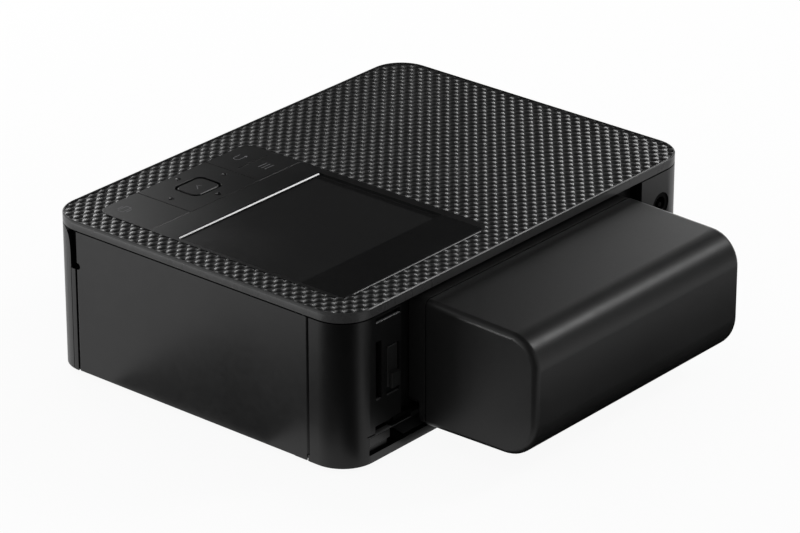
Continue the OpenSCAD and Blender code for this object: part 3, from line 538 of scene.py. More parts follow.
def board(name, colour, track):
    """Lacquered circuit board with tracks under the lacquer."""
    material, tree, shader = new_material(name)
    place = tree.nodes.new("ShaderNodeTexCoord").outputs["Object"]
    bricks = tree.nodes.new("ShaderNodeTexBrick")
    for label, value in (("Scale", 260.0), ("Mortar Size", 0.09), ("Brick Width", 1.7), ("Row Height", 0.42)):
        bricks.inputs[label].default_value = value
    turn = tree.nodes.new("ShaderNodeMapping")
    turn.inputs["Rotation"].default_value = (math.radians(52), math.radians(38), 0.0)
    tree.links.new(place, turn.inputs["Vector"])
    tree.links.new(turn.outputs["Vector"], bricks.inputs["Vector"])
    tint = mix_colour(tree, bricks.outputs["Fac"], colour, track)
    skin = use_group(tree, GRAIN, {"Grain per metre": 900.0, "Gloss low": 0.25, "Gloss high": 0.38})
    clothe(tree, shader, tint, skin, bricks.outputs["Fac"], 0.3, 0.03 * MM)
    return material


def box_mask(tree, place, low, high, edge):
    """1 inside a rectangle seen from above, and 0 outside it."""
    split = tree.nodes.new("ShaderNodeSeparateXYZ")
    tree.links.new(place, split.inputs[0])
    mask = None
    for axis, a, b in (("X", low[0], high[0]), ("Y", low[1], high[1])):
        rise = spread(tree, split.outputs[axis], a - edge, a + edge, 0.0, 1.0)
        fall = spread(tree, split.outputs[axis], b - edge, b + edge, 1.0, 0.0)
        both = math_node(tree, "MULTIPLY", rise, fall)
        mask = both if mask is None else math_node(tree, "MULTIPLY", mask, both)
    return mask


def screen_glass(name):
    """Dark window: the display shows faintly through it, inside a blacker border."""
    material, tree, shader = new_material(name)
    place = tree.nodes.new("ShaderNodeTexCoord").outputs["Object"]
    margin = 1.7 * MM
    low = (LCD_LOW[0] + 2 * margin, LCD_LOW[1] + margin)
    high = (LCD_HIGH[0] - 0.2 * margin, LCD_HIGH[1] - 0.2 * margin)
    mask = box_mask(tree, place, low, high, 0.08 * MM)
    tint = mix_colour(tree, mask, (0.009, 0.009, 0.0091), (0.0165, 0.0165, 0.0166))
    skin = use_group(tree, GRAIN, {"Grain per metre": 3000.0, "Gloss low": 0.16, "Gloss high": 0.22})
    clothe(tree, shader, tint, skin, skin.outputs["Height"], 0.1, 0.002 * MM)
    shader.inputs["IOR"].default_value = 1.38
    return material


CASE_BLACK = moulded("case black", (0.0042, 0.0042, 0.0043), (0.34, 0.4), ior=1.36)
COVER_BLACK = moulded("cover black", (0.011, 0.011, 0.0111), (0.3, 0.36), grain=3200.0, depth=0.008 * MM,
                      ior=1.4)
RIM_BLACK = moulded("rim black", (0.034, 0.034, 0.0342), (0.26, 0.32), grain=3200.0, depth=0.008 * MM,
                    ior=1.3)
POLISHED_BLACK = moulded("polished black", (0.01, 0.01, 0.01), (0.1, 0.14), depth=0.001 * MM)
PANEL_BLACK = moulded("panel black", (0.0035, 0.0035, 0.0036), (0.28, 0.33), ior=1.33)
PACK_BLACK = moulded("battery black", (0.011, 0.011, 0.011), (0.34, 0.4), grain=3000.0, ior=1.31)
# The bay's black plastic, darkened further as painted shade for the gap between the shell and the battery
BAY_BLACK_AND_SHADE = moulded("bay black with painted shade", (0.003, 0.003, 0.0031), (0.5, 0.6), ior=1.3)
BASE_BLACK = moulded("base black", (0.008, 0.008, 0.008), (0.55, 0.65), grain=1500.0, depth=0.04 * MM,
                     ior=1.35)
SCREEN = screen_glass("screen black")
# A lighter grey that is a painted highlight: the rear shelf and the lines under the narrow slots take it so
# that they read as lit edges
EDGE_HIGHLIGHT_GREY = moulded("painted edge highlight grey", (0.07, 0.07, 0.0704), (0.3, 0.36), ior=1.4)
MARK_GREY = moulded("mark grey", (0.11, 0.11, 0.115), (0.5, 0.6))
SOFT_RUBBER = moulded("soft rubber", (0.014, 0.014, 0.014), (0.7, 0.85), grain=1800.0, depth=0.05 * MM,
                      ior=1.35)
ROLLER_RUBBER = moulded("roller rubber", (0.03, 0.03, 0.032), (0.6, 0.75), grain=2200.0, depth=0.04 * MM)
CASSETTE_GREY = moulded("cassette grey", (0.05, 0.051, 0.055), (0.45, 0.55))
GUIDE_GREY = moulded("guide grey", (0.03, 0.03, 0.031), (0.4, 0.5))
GEAR_CREAM = moulded("gear cream", (0.72, 0.68, 0.55), (0.35, 0.45), grain=1600.0)
CONTACT_BLACK = moulded("socket black", (0.002, 0.002, 0.002), (0.5, 0.6), ior=1.1)
FILM_PLUM = moulded("film plum", (0.16, 0.03, 0.11), (0.14, 0.22), depth=0.004 * MM, ior=1.55, coat=0.3)
FILM_OCHRE = moulded("film ochre", (0.52, 0.4, 0.06), (0.16, 0.24), depth=0.004 * MM, ior=1.55, coat=0.3)
CELL_BLUE = moulded("cell wrap blue", (0.05, 0.14, 0.36), (0.25, 0.35), ior=1.5)
HEAD_CERAMIC = moulded("head ceramic", (0.75, 0.72, 0.64), (0.2, 0.3), grain=1800.0, depth=0.006 * MM)
SHEET_STEEL = metal("sheet steel", (0.56, 0.57, 0.58), (0.32, 0.46))
SHAFT_STEEL = metal("turned steel", (0.66, 0.66, 0.67), (0.16, 0.28), along=(2400.0, 60.0, 60.0))
SINK_ALUMINIUM = metal("sink aluminium", (0.74, 0.75, 0.76), (0.28, 0.4))
MOTOR_STEEL = metal("motor steel", (0.42, 0.43, 0.45), (0.3, 0.42))
SCREW_STEEL = metal("screw steel", (0.36, 0.36, 0.38), (0.3, 0.4))
BRASS = metal("brass", (0.72, 0.52, 0.26), (0.22, 0.34), along=(2400.0, 60.0, 60.0))
CONTACT_GOLD = metal("contact gold", (0.78, 0.58, 0.26), (0.18, 0.28))
MAIN_GREEN = board("board green", (0.012, 0.075, 0.035), (0.03, 0.14, 0.06))
POWER_TAN = board("board tan", (0.2, 0.11, 0.04), (0.28, 0.17, 0.07))

# The solids that are seen as they are, by their finish
SOLID_FINISHES = (
    (SHEET_STEEL, ("card_slot", "usb_port", "chassis_floor", "chassis_left", "chassis_right", "motor_bracket",
                   "head_arm")),
    (SHAFT_STEEL, ("head_pivot_shaft", "idler_axle", "ink_door_pins", "paper_door_pins", "platen_shaft",
                   "capstan_roller", "pickup_shaft", "takeup_spindle")),
    (MOTOR_STEEL, ("feed_motor", "ribbon_motor")),
    (SINK_ALUMINIUM, ("heat_sink",)),
    (BRASS, ("shaft_bushes", "feed_pinion", "ribbon_pinion")),
    (CONTACT_GOLD, ("battery_contacts",)),
    (MAIN_GREEN, ("key_board", "main_board")),
    (POWER_TAN, ("power_board",)),
    (GEAR_CREAM, ("capstan_gear", "idler_gear", "pickup_gear", "takeup_gear")),
    (GUIDE_GREY, ("lcd_module", "rear_paper_guide", "pinch_roller")),
    # The bay takes the black that carries painted shade
    (BAY_BLACK_AND_SHADE, ("battery_bay",)),
    (ROLLER_RUBBER, ("platen_sleeve", "pickup_tyres")),
    (HEAD_CERAMIC, ("thermal_head",)),
    (FILM_PLUM, ("supply_spool", "ribbon_film")),
    (FILM_OCHRE, ("takeup_spool",)),
    (CELL_BLUE, ("battery_cells",)),
)


def finish_solids():
    for material, nodes in SOLID_FINISHES:
        for node in nodes:
            finish(NODES[node], material)


# ---------- Top cover and its studs ----------

def outside_panel(place, room):
    """Accepts a place that is more than room away from the panel, seen from above."""
    return (place[0] < PANEL_LEFT - room or place[0] > PANEL_RIGHT + room
            or place[1] < PANEL_FRONT - room or place[1] > PANEL_REAR + room)


def model_cover():
    """The cover's shell, lowered a little so that the studs and the bead stand up to its full height."""
    cover = solid_copy("top_cover", "top_cover_shell")
    verts = cover.data.vertices
    move(cover, lambda place: place[2] > TOP_Z - NEAR, (0, 0, -STUD_SEAT))
    on_seat = at_level(2, TOP_Z - STUD_SEAT)

    def on_rim(edge):
        ends = [verts[i].co for i in edge.vertices]
        return all(on_seat(end) and outside_panel(end, 1 * MM) for end in ends)

    edit_with(cover, "EDGE", on_rim)
    bpy.ops.mesh.bevel(offset=RIM_CHAMFER, segments=1, affect="EDGES")
    leave_edit()
    round_where(cover, at_level(2, CASE_LOW[2], SHELL_HIGH[2]), 0.2 * MM)
    level(cover, 40)
    stand_for(cover, RIM_BLACK, "printer", "top_cover")


def model_stud():
    """One stud: a low pyramid on a lozenge, with its ridges and tip rounded over."""
    bpy.ops.mesh.primitive_cone_add(vertices=4, radius1=1.0, radius2=0.0, depth=1.0, location=(0, 0, 0.5))
    stud = added("cover_studs")
    settle(stud)
    verts = stud.data.vertices
    edit_with(stud, "EDGE", lambda edge: any(verts[i].co.z > 0.5 for i in edge.vertices))
    bpy.ops.mesh.bevel(offset=STUD_ROUND, segments=2, affect="EDGES")
    leave_edit()
    stud.scale = (STUD_PITCH_X / 2, STUD_PITCH_Y / 2, STUD_HEIGHT)
    settle(stud)
    return stud


def border_near(place, low, high, corner):
    """How far out of a rounded rectangle a place lies, the way out, and the nearest spot of the border."""
    core = Vector((max(low[0] + corner, min(high[0] - corner, place[0])),
                   max(low[1] + corner, min(high[1] - corner, place[1]))))
    away = Vector(place[:2]) - core
    if away.length == 0:
        return -corner, Vector((1, 0)), core
    way = away.normalized()
    return away.length - corner, way, core + way * corner


def stud_cuts(middle):
    """The planes that trim the stud at the rim and at the panel, or None if none of it is left."""
    rim = ((CASE_LOW[0] + RIM_EDGE, CASE_LOW[1] + RIM_EDGE),
           (CASE_HIGH[0] - RIM_EDGE, CASE_HIGH[1] - RIM_EDGE))
    panel = (PANEL_LEFT, PANEL_FRONT), (PANEL_RIGHT, PANEL_REAR)
    planes = []
    for (low, high), corner, side in ((rim, CASE_CORNER - RIM_EDGE, 1), (panel, PANEL_CORNER, -1)):
        out, way, spot = border_near(middle, low, high, corner)
        reach = max(abs(way.x) * STUD_PITCH_X, abs(way.y) * STUD_PITCH_Y) / 2
        if side * out > reach - STUD_SCRAP:
            return None
        if side * out > -reach:
            planes.append((round(side * way.x, 4), round(side * way.y, 4), round(side * way.dot(spot), 6)))
    return planes


def model_rim_bead():
    """The raised edge that runs round the top: a ring with its outer edge sloped."""
    low, high = CASE_LOW, CASE_HIGH
    foot_z = TOP_Z - STUD_SEAT - RIM_CHAMFER
    bpy.ops.mesh.primitive_circle_add(vertices=4 * BEAD_STEPS, radius=1.0, fill_type="NGON")
    bead = added("rim_bead")
    for number, vertex in enumerate(bead.data.vertices):
        side, step = divmod(number, BEAD_STEPS)
        turn = math.radians(90 * side + 90 * step / (BEAD_STEPS - 1))
        core_x = high[0] - CASE_CORNER if side in (0, 3) else low[0] + CASE_CORNER
        core_y = high[1] - CASE_CORNER if side in (0, 1) else low[1] + CASE_CORNER
        vertex.co = (core_x + CASE_CORNER * math.cos(turn), core_y + CASE_CORNER * math.sin(turn), foot_z)
    edit_with(bead, "FACE", lambda face: True)
    bpy.ops.mesh.inset(thickness=RIM_EDGE - BEAD_GAP)
    bpy.ops.mesh.delete(type="FACE")
    leave_edit()
    pull_out(bead, (0, 0, TOP_Z + BEAD_RISE - foot_z))

    def outer_top(place):
        return place[2] > TOP_Z and border_near(place, low, high, CASE_CORNER)[0] > -NEAR

    round_where(bead, outer_top, BEAD_SLOPE, 1)
    level(bead, 40)
    finish(bead, RIM_BLACK)
    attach(bead, "printer")


def model_studs():
    stud = model_stud()
    per_stud = len(stud.data.vertices)
    seat_z = TOP_Z - STUD_SEAT
    columns = math.ceil(2 * CASE_HIGH[0] / STUD_PITCH_X) + 2
    rows = math.ceil((CASE_HIGH[1] - CASE_LOW[1]) / STUD_PITCH_Y) + 2
    for count, step in ((columns, (STUD_PITCH_X, 0, 0)), (rows, (0, STUD_PITCH_Y, 0)),
                        (2, (STUD_PITCH_X / 2, STUD_PITCH_Y / 2, 0))):
        array = stud.modifiers.new("rows of studs", "ARRAY")
        array.use_relative_offset = False
        array.use_constant_offset = True
        array.constant_offset_displace = step
        array.count = count
    apply_modifiers(stud)
    start_x = STUD_PHASE[0] - STUD_PITCH_X * math.ceil((STUD_PHASE[0] + CASE_HIGH[0]) / STUD_PITCH_X)
    start_y = STUD_PHASE[1] - STUD_PITCH_Y * math.ceil((STUD_PHASE[1] - CASE_LOW[1]) / STUD_PITCH_Y)
    stud.location = (start_x, start_y, seat_z)
    settle(stud)
    verts = stud.data.vertices
    lost = set()
    trims = {}
    for first in range(0, len(verts), per_stud):
        group = list(range(first, first + per_stud))
        middle = sum((verts[i].co for i in group), Vector()) / per_stud
        planes = stud_cuts(middle)
        if planes is None:
            lost.update(group)
            continue
        for plane in planes:
            trims.setdefault(plane, []).extend(group)
    for number, members in enumerate(trims.values()):
        stud.vertex_groups.new(name="trim %d" % number).add(members, 1.0, "REPLACE")
    edit_with(stud, "VERT", lambda vertex: vertex.index in lost)
    bpy.ops.mesh.delete(type="VERT")
    for number, (way_x, way_y, reach) in enumerate(trims):
        bpy.ops.mesh.select_all(action="DESELECT")
        stud.vertex_groups.active_index = number
        bpy.ops.object.vertex_group_select()
        bpy.ops.mesh.bisect(plane_co=(way_x * reach, way_y * reach, 0), plane_no=(way_x, way_y, 0),
                            use_fill=True, clear_outer=True)
    leave_edit()
    stud.vertex_groups.clear()
    smooth(stud, 60)
    finish(stud, COVER_BLACK)
    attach(stud, "printer")


# ---------- Case, panel and keys ----------

def finger_flare():
    """The tool that widens the top of the finger notch towards the front."""
    # The outline in millimetres from the notch's front at the shell's top
    outline = [(0.4, -9.5), (0.0, -9.5), (-0.25, -6.0), (-0.7, -3.6), (-1.4, -2.0), (-2.4, -0.9),
               (-3.8, -0.25), (-5.2, 0.1), (0.4, 0.1)]
    bpy.ops.mesh.primitive_circle_add(vertices=len(outline), radius=1.0, fill_type="NGON")
    tool = added("flare tool")
    for vertex, (y, z) in zip(tool.data.vertices, outline):
        vertex.co = (WALL_X - FLARE_DEPTH, NOTCH_FRONT + y * MM, SHELL_HIGH[2] + z * MM)
    pull_out(tool, (4 * MM, 0, 0))
    return tool


def wall_box(low_x, low_z, high_x, high_z, depth):
    """The corners of a box that reaches from outside the slotted wall into it."""
    return (low_x, WALL_Y - depth, low_z), (high_x, WALL_Y + OUT, high_z)


def cut_wall(shell, *box):
    cut(shell, block(*wall_box(*box)))


def model_shell():
    """The case's shell: its seams, slots and steps, and the dark seam under the rim."""
    shell = solid_copy("body_shell", "case_shell")
    top_z = SHELL_HIGH[2]
    cut(shell, finger_flare())
    cut(shell, block((WALL_X - SEAM_DEPTH, NOTCH_FRONT - SEAM_W / 2, SHELL_LOW[2] + 0.4 * MM),
                     (WALL_X + OUT, NOTCH_FRONT + SEAM_W / 2, NOTCH_LOW + 0.2 * MM)))
    cut_wall(shell, BAY_STEP_X, SHELF_Z, SLOT_X - STOP_W - 0.2 * MM, BAY_STEP_Z, THROUGH)
    cut_wall(shell, SLOT_X - STOP_W, SHELF_Z, SLOT_X + 0.8 * MM, SHELF_Z + GROOVE_H, GROOVE_DEPTH)
    window = wall_box(LEVER_LOW[0] - OUT, LEVER_LOW[2] - 4 * MM, LEVER_HIGH[0] + OUT, LEVER_HIGH[2] + OUT,
                      1.5 * MM)
    round_where(shell, inside(*window), 0.9 * MM, 4, along=1)
    cut_wall(shell, UPPER_SLOT[0], UPPER_SLOT_LOW, UPPER_SLOT[1], UPPER_SLOT_LOW + UPPER_SLOT_H,
             UPPER_SLOT_DEPTH)
    for end_x in (-SLOT_X, SLOT_X):
        corner = wall_box(end_x - OUT, SLOT_LOW - OUT, end_x + OUT, SLOT_LOW + OUT, THROUGH)
        round_where(shell, inside(*corner), SLOT_ROUND, 4, along=1)
    cut_wall(shell, -BAY_X, top_z - 3 * MM, BAY_X, top_z + OUT, THROUGH + OUT)
    move(shell, lambda place: place[2] > top_z - NEAR, (0, 0, -RIM_SEAM))
    for axis, levels in ((0, (-WALL_X, WALL_X)), (1, (SHELL_LOW[1], WALL_Y)), (2, (SHELL_LOW[2],))):
        round_where(shell, at_level(axis, *levels), CASE_ROUND, 1)
    level(shell)
    stand_for(shell, CASE_BLACK, "printer", "body_shell")


def model_ink_door():
    """The side door, with the scoop and the round pocket that a fingertip takes."""
    door = solid_copy("ink_door", "ink_door_skin")
    face_x, rear_y, top_z = DOOR_HIGH
    bite = at_level(1, NOTCH_REAR)
    move(door, lambda place: place[2] > top_z - NEAR, (0, 0, DOOR_GAP - RIM_SEAM))
    move(door, lambda place: bite(place) and place[2] > NOTCH_LOW, (0, -NOTCH_WIDENED, 0))
    bite_rear = inside((face_x - NEAR, NOTCH_REAR - NOTCH_WIDENED - NEAR, -OUT),
                       (face_x + NEAR, NOTCH_REAR - NOTCH_WIDENED + NEAR, top_z))
    round_where(door, bite_rear, 1.5 * MM, 5)
    bpy.ops.mesh.primitive_cylinder_add(
        vertices=32, radius=POCKET_R, depth=5 * POCKET_R, rotation=(0, math.pi / 2, 0),
        location=(face_x - POCKET_R / 2, NOTCH_REAR - 0.9 * MM, NOTCH_LOW + 1.4 * MM))
    pocket = added("pocket tool")
    settle(pocket)
    cut(door, pocket)
    rear_corner = inside((face_x - 4 * MM, rear_y - 1.5 * MM, top_z - 1.5 * MM),
                         (face_x + OUT, rear_y + OUT, top_z + OUT))
    round_where(door, rear_corner, 1 * MM, 4, along=0)
    skirt = block((face_x - SKIRT, rear_y - 6 * MM, DOOR_LOW[2]),
                  (face_x, rear_y - DOOR_PIN_BACK + 1.7 * MM, BASE_HIGH[2] + 0.6 * MM))
    cut(door, skirt, "UNION")
    round_where(door, at_level(0, face_x), 0.3 * MM, 2)
    level(door)
    stand_for(door, CASE_BLACK, "ink_door", "ink_door")


def model_base():
    """The base plate, with the lug under the side door slim enough to turn behind the door's skirt."""
    base = solid_copy("base_plate", "base_tray")
    axis_x, axis_y = DOOR_HIGH[0] - DOOR_PIN_IN, DOOR_HIGH[1] - DOOR_PIN_BACK
    rear = block((axis_x + 0.3 * MM, axis_y + 2.2 * MM, BASE_LOW[2]),
                 (DOOR_HIGH[0] - 0.05 * MM, axis_y + 3 * MM, BASE_HIGH[2]))

    def on_lug(start, end=math.inf):
        """Accepts the lug's places with an X from start to end."""
        return lambda place: start < place[0] < end and abs(place[1] - axis_y) < DOOR_PIN_IN + NEAR

    for wanted, factors in ((on_lug(axis_x - 2 * MM, axis_x - NEAR), (1, 0.3, 1)),
                            (on_lug(axis_x - NEAR), (1, 0.6, 1)),
                            (on_lug(axis_x + NEAR), (0.6, 1, 1))):
        stretch(base, wanted, factors, (axis_x, axis_y, 0))
    cut(base, rear, "UNION")
    level(base)
    stand_for(base, BASE_BLACK, "printer", "base_plate")


def model_lever():
    """The release lever's plate, a little smaller than its window, with the ridge that a thumb pushes."""
    lever = solid_copy("release_lever", "lever_grip")
    plate_y = WALL_Y - 0.2 * MM

    def on_plate(place):
        return place[1] > plate_y - 1 * MM

    stretch(lever, on_plate, (0.9, 1, 0.965), middle_of(LEVER_LOW, LEVER_HIGH))
    round_where(lever, on_plate, 0.7 * MM, 4, along=1)
    round_where(lever, at_level(1, LEVER_HIGH[1]), 0.35 * MM, 1)
    round_where(lever, at_level(1, plate_y), 0.3 * MM, 1)
    level(lever)
    stand_for(lever, PACK_BLACK, "release_lever", "release_lever")


def model_screen():
    """The window sunk over the display, and the level band behind it."""
    pane = solid_copy("screen_window", "screen_pane")
    band = block((WINDOW_LOW[0] - 0.05 * MM, SCREEN_REAR, WINDOW_LOW[2] + 0.3 * MM),
                 (WINDOW_HIGH[0] + 0.05 * MM, WINDOW_HIGH[1] + 0.05 * MM, TOP_Z - HAIR))
    pane = join([pane, band], "screen_pane")
    level(pane)
    stand_for(pane, SCREEN, "printer", "screen_window")


def bright_edge(name, low, high, slope, material):
    """A strip whose upper rear edge slopes, to catch the light."""
    strip = block(low, high, name)
    rear = at_level(1, high[1])
    round_where(strip, lambda place: rear(place) and place[2] > high[2] - NEAR, slope, 1)
    level(strip)
    finish(strip, material)
    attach(strip, "printer")


def model_bright_edges():
    """The slopes at the sunk window, the panel's rear and the shelf, and the line under each narrow slot; the
    shelf and the slot lines are painted lighter grey, a painted highlight on those edges.
    """
    slope = 0.95 * (TOP_Z - WINDOW_HIGH[2])
    bright_edge("screen_lip",
                (WINDOW_LOW[0] + 0.1 * MM, WINDOW_LOW[1] - 0.1 * MM, WINDOW_HIGH[2] - 0.1 * MM),
                (WINDOW_HIGH[0] - 0.1 * MM, WINDOW_LOW[1] + 0.8 * MM, TOP_Z - HAIR), slope, POLISHED_BLACK)
    bright_edge("panel_rear_trim", (PANEL_LEFT + PANEL_CORNER, PANEL_REAR - 0.5 * MM, TOP_Z - 0.45 * MM),
                (PANEL_RIGHT - PANEL_CORNER, PANEL_REAR + 2 * HAIR, TOP_Z + BEAD_RISE), 0.22 * MM, RIM_BLACK)
    # The shelf and the lines under the slots are painted lighter grey, a painted highlight
    bright_edge("slot_shelf", (BAY_STEP_X, WALL_Y - 2.2 * MM, SLOT_TOP - 0.1 * MM),
                (SLOT_X + 0.1 * MM, WALL_Y + 0.1 * MM, SHELF_Z), 0.25 * MM, EDGE_HIGHLIGHT_GREY)
    for name, (low_x, high_x), edge_z in (("upper_slot_highlight", UPPER_SLOT, UPPER_SLOT_LOW),
                                          ("side_slot_highlight", SIDE_SLOT, SIDE_SLOT_LOW),
                                          ("lever_window_highlight", LEVER_WINDOW, LEVER_WINDOW_LOW)):
        bright_edge(name, (low_x + 0.1 * MM, WALL_Y - 0.8 * MM, edge_z - 0.22 * MM),
                    (high_x - 0.1 * MM, WALL_Y + 0.04 * MM, edge_z + 0.03 * MM), 0.15 * MM, EDGE_HIGHLIGHT_GREY)


def panel_edge(place):
    """Accepts the panel's top edges, but not those round the sunk window."""
    room = 0.1 * MM
    in_window = (WINDOW_LOW[0] - room < place[0] < WINDOW_HIGH[0] + room
                 and WINDOW_LOW[1] - room < place[1] < WINDOW_HIGH[1] + room)
    return abs(place[2] - TOP_Z) < NEAR and not in_window


def model_panel():
    panel = solid_copy("panel_bezel", "panel_frame")
    round_where(panel, panel_edge, 0.22 * MM, 1)
    side = at_level(0, WINDOW_LOW[0])
    round_where(panel, lambda place: abs(place[2] - TOP_Z) < NEAR and side(place), 0.25 * MM, 1)
    level(panel)
    stand_for(panel, PANEL_BLACK, "printer", "panel_bezel")


def model_case():
    model_shell()
    model_panel()
    model_ink_door()
    model_base()
    model_lever()
    model_screen()
    model_bright_edges()
    front = at_level(1, SHELL_LOW[1])
    softened("paper_door", "paper_door_skin", "paper_door", 0.3 * MM, CASE_BLACK, 3, front)
    softened("rubber_feet", "feet", "printer", 0.5 * MM, SOFT_RUBBER, 3)
    softened("case_screws", "screws", "printer", 0.15 * MM, SCREW_STEEL)
    softened("dc_jack", "power_socket", "printer", 0.2 * MM, CONTACT_BLACK)
    softened("ink_cassette_shell", "cassette_shell", "ink_cassette", 0.25 * MM, CASSETTE_GREY)


def model_keys():
    top = at_level(2, TOP_Z)
    softened("print_key", "print_key_cap", "print_key", KEY_ROUND, PANEL_BLACK, 1, top)
    softened("menu_rocker", "menu_rocker_cap", "menu_rocker", KEY_ROUND, PANEL_BLACK, 1, top)
    softened("ok_key", "ok_key_cap", "ok_key", 0.25 * MM, PANEL_BLACK, 1, top)
    pad = solid_copy("nav_pad", "nav_pad_cap")
    room = 1.2 * MM
    hole = inside((OK_LOW[0] - room, OK_LOW[1] - room, TOP_Z - 1.5 * MM),
                  (OK_HIGH[0] + room, OK_HIGH[1] + room, TOP_Z + OUT))
    wide, deep = OK_HIGH[0] - OK_LOW[0], OK_HIGH[1] - OK_LOW[1]
    stretch(pad, hole, (1 + 2 * OK_RING / wide, 1 + 2 * OK_RING / deep, 1), middle_of(OK_LOW, OK_HIGH))
    round_where(pad, top, KEY_ROUND, 1)
    level(pad)
    stand_for(pad, PANEL_BLACK, "nav_pad", "nav_pad")


# ---------- Marks and trims ----------

def mark_bar(x, y, wide=MARK_LINE, deep=MARK_LINE, turn=0.0):
    """A thin raised bar lying on the panel, turned about the vertical."""
    bpy.ops.mesh.primitive_cube_add(size=1.0, location=(x, y, TOP_Z), rotation=(0, 0, turn))
    bar = bpy.context.active_object
    bar.scale = (wide, deep, MARK_RISE)
    settle(bar)
    return bar


def mark_arc(x, y, radius, start, end, steps=14):
    """A thin raised arc, made of short bars that meet end to end."""
    long = radius * abs(end - start) / steps * 1.1
    bars = []
    for i in range(steps):
        a = start + (end - start) * (i + 0.5) / steps
        bars.append(mark_bar(x + radius * math.cos(a), y + radius * math.sin(a), long, turn=a + math.pi / 2))
    return bars


def arrow_head(x, y, size, thick, turn):
    """A small three-cornered mark, with its upper edges rounded unless it is as thin as a sign."""
    bpy.ops.mesh.primitive_cylinder_add(vertices=3, radius=size, depth=thick, location=(x, y, TOP_Z),
                                        rotation=(0, 0, turn))
    head = bpy.context.active_object
    settle(head)
    if thick > MARK_RISE:
        round_where(head, lambda place: place[2] > TOP_Z, 0.4 * thick, 2)
    return head


def printed(pieces, name, body, material):
    """The pieces of a sign as one mark that moves with its key."""
    mark = join(pieces, name)
    smooth(mark, 30)
    finish(mark, material)
    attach(mark, body)


def model_key_marks():
    """The arrows of the direction pad, and the signs on the other keys."""
    quarter = math.pi / 2
    nav_x, nav_y = middle_of(NAV_LOW, NAV_HIGH)[:2]
    arrows = [arrow_head(nav_x + x, nav_y + y, 1.25 * MM, 0.5 * MM, turn)
              for x, y, turn in ((0, NAV_REACH_Y, 0), (0, -NAV_REACH_Y, math.pi),
                                 (-NAV_REACH_X, 0, quarter), (NAV_REACH_X, 0, -quarter))]
    printed(arrows, "direction_marks", "nav_pad", POLISHED_BLACK)
    tick = [mark_bar(nav_x - 0.95 * MM, nav_y - 0.35 * MM, 1.7 * MM, turn=math.radians(-45)),
            mark_bar(nav_x + 0.65 * MM, nav_y + 0.2 * MM, 3.0 * MM, turn=math.radians(50))]
    printed(tick, "ok_tick", "ok_key", MARK_GREY)

    menu_x = middle_of(MENU_LOW, MENU_HIGH)[0]
    list_y = MENU_HIGH[1] - 6.6 * MM
    back_y = MENU_LOW[1] + 6.2 * MM
    loop = 1.3 * MM
    signs = [mark_bar(menu_x, list_y + step * 1.5 * MM, 4.6 * MM) for step in (-1, 0, 1)]
    signs.append(mark_bar(menu_x + 0.1 * MM, back_y + loop, SHORT_BAR))
    signs.append(mark_bar(menu_x - 0.2 * MM, back_y - loop, SHORT_BAR))
    signs.append(arrow_head(menu_x - 1.7 * MM, back_y + loop, 0.8 * MM, MARK_RISE, quarter))
    signs += mark_arc(menu_x + loop, back_y, loop, -quarter, quarter)
    printed(signs, "menu_marks", "menu_rocker", MARK_GREY)

    x, y = PRINT_HIGH[0] - 7.0 * MM, PRINT_LOW[1] + 5.4 * MM
    sheet = [mark_bar(x, y, SHEET_W),
             mark_bar(x - SHEET_W / 2, y + SHEET_H / 2, deep=SHEET_H),
             mark_bar(x + SHEET_W / 2, y + SHEET_H / 2, deep=SHEET_H),
             mark_bar(x, y + SHEET_H, SHEET_W),
             mark_bar(x, y + 3.2 * MM, SHORT_BAR),
             mark_bar(x, y - 0.9 * MM, SHORT_BAR)]
    printed(sheet, "print_mark", "print_key", MARK_GREY)


def model_slot_trim():
    """The stops that fill the paper slot's ends."""
    pieces = []
    step_z = SLOT_TOP - STOP_H
    for low_x, high_x in ((-SLOT_X, STOP_W - SLOT_X), (SLOT_X - STOP_W, SLOT_X)):
        pieces.append(block((low_x, WALL_Y - 2 * MM, step_z),
                            (high_x, WALL_Y - 0.15 * MM, SLOT_TOP - 0.05 * MM)))
        pieces.append(block((low_x, WALL_Y - THROUGH, SLOT_LOW),
                            (high_x, WALL_Y - 1.5 * MM, step_z + 0.1 * MM)))
    trim = join(pieces, "slot_trim")
    round_edges(trim, 0.2 * MM, 1)
    finish(trim, CASE_BLACK)
    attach(trim, "printer")


# ---------- Battery pack ----------

def model_battery_skin():
    """The pack's body: a block whose top falls and underside rises, with its rear edges rolled over."""
    skin = block(PACK_LOW, PACK_HIGH, "battery_skin")
    verts = skin.data.vertices
    edge_x, rear_y, _ = PACK_HIGH
    front_y = PACK_LOW[1]
    middle_z = middle_of(PACK_LOW, PACK_HIGH)[2]

    def at_rear(place, low_side):
        return place[1] > rear_y - 1 * MM and (place[2] < middle_z) == low_side

    def round_end(edge):
        """Accepts the edges round the pack's two ends, but not those against the bay."""
        a, b = (verts[i].co for i in edge.vertices)
        return abs(abs(a.x) - edge_x) < NEAR and abs(a.x - b.x) < NEAR and max(a.y, b.y) > front_y + NEAR

    for low_side, rise in ((False, -PACK_FALL), (True, PACK_RISE)):
        move(skin, lambda place: at_rear(place, low_side), (0, 0, rise))
    for low_side, radius in ((False, PACK_TOP_ROLL), (True, PACK_LOW_ROLL)):
        edit_with(skin, "EDGE", lambda edge: all(at_rear(verts[i].co, low_side) for i in edge.vertices))
        bpy.ops.mesh.bevel(offset=radius, segments=14, affect="EDGES")
        leave_edit()
    edit_with(skin, "EDGE", round_end)
    bpy.ops.mesh.bevel(offset=PACK_END_ROLL, segments=5, affect="EDGES")
    leave_edit()
    move(skin, lambda place: place[1] < front_y + NEAR, (0, PACK_SEAM, 0))
    round_where(skin, at_level(1, front_y + PACK_SEAM), 0.15 * MM)
    level(skin, 30)
    stand_for(skin, PACK_BLACK, "battery_pack", "battery_case")


def model_battery():
    model_battery_skin()
    foot_low, foot_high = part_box("battery_plate")
    foot = at_level(1, foot_low[1], foot_high[1])
    softened("battery_plate", "battery_foot", "battery_pack", 0.15 * MM, PACK_BLACK, 2, foot)


# ---------- Stage ----------

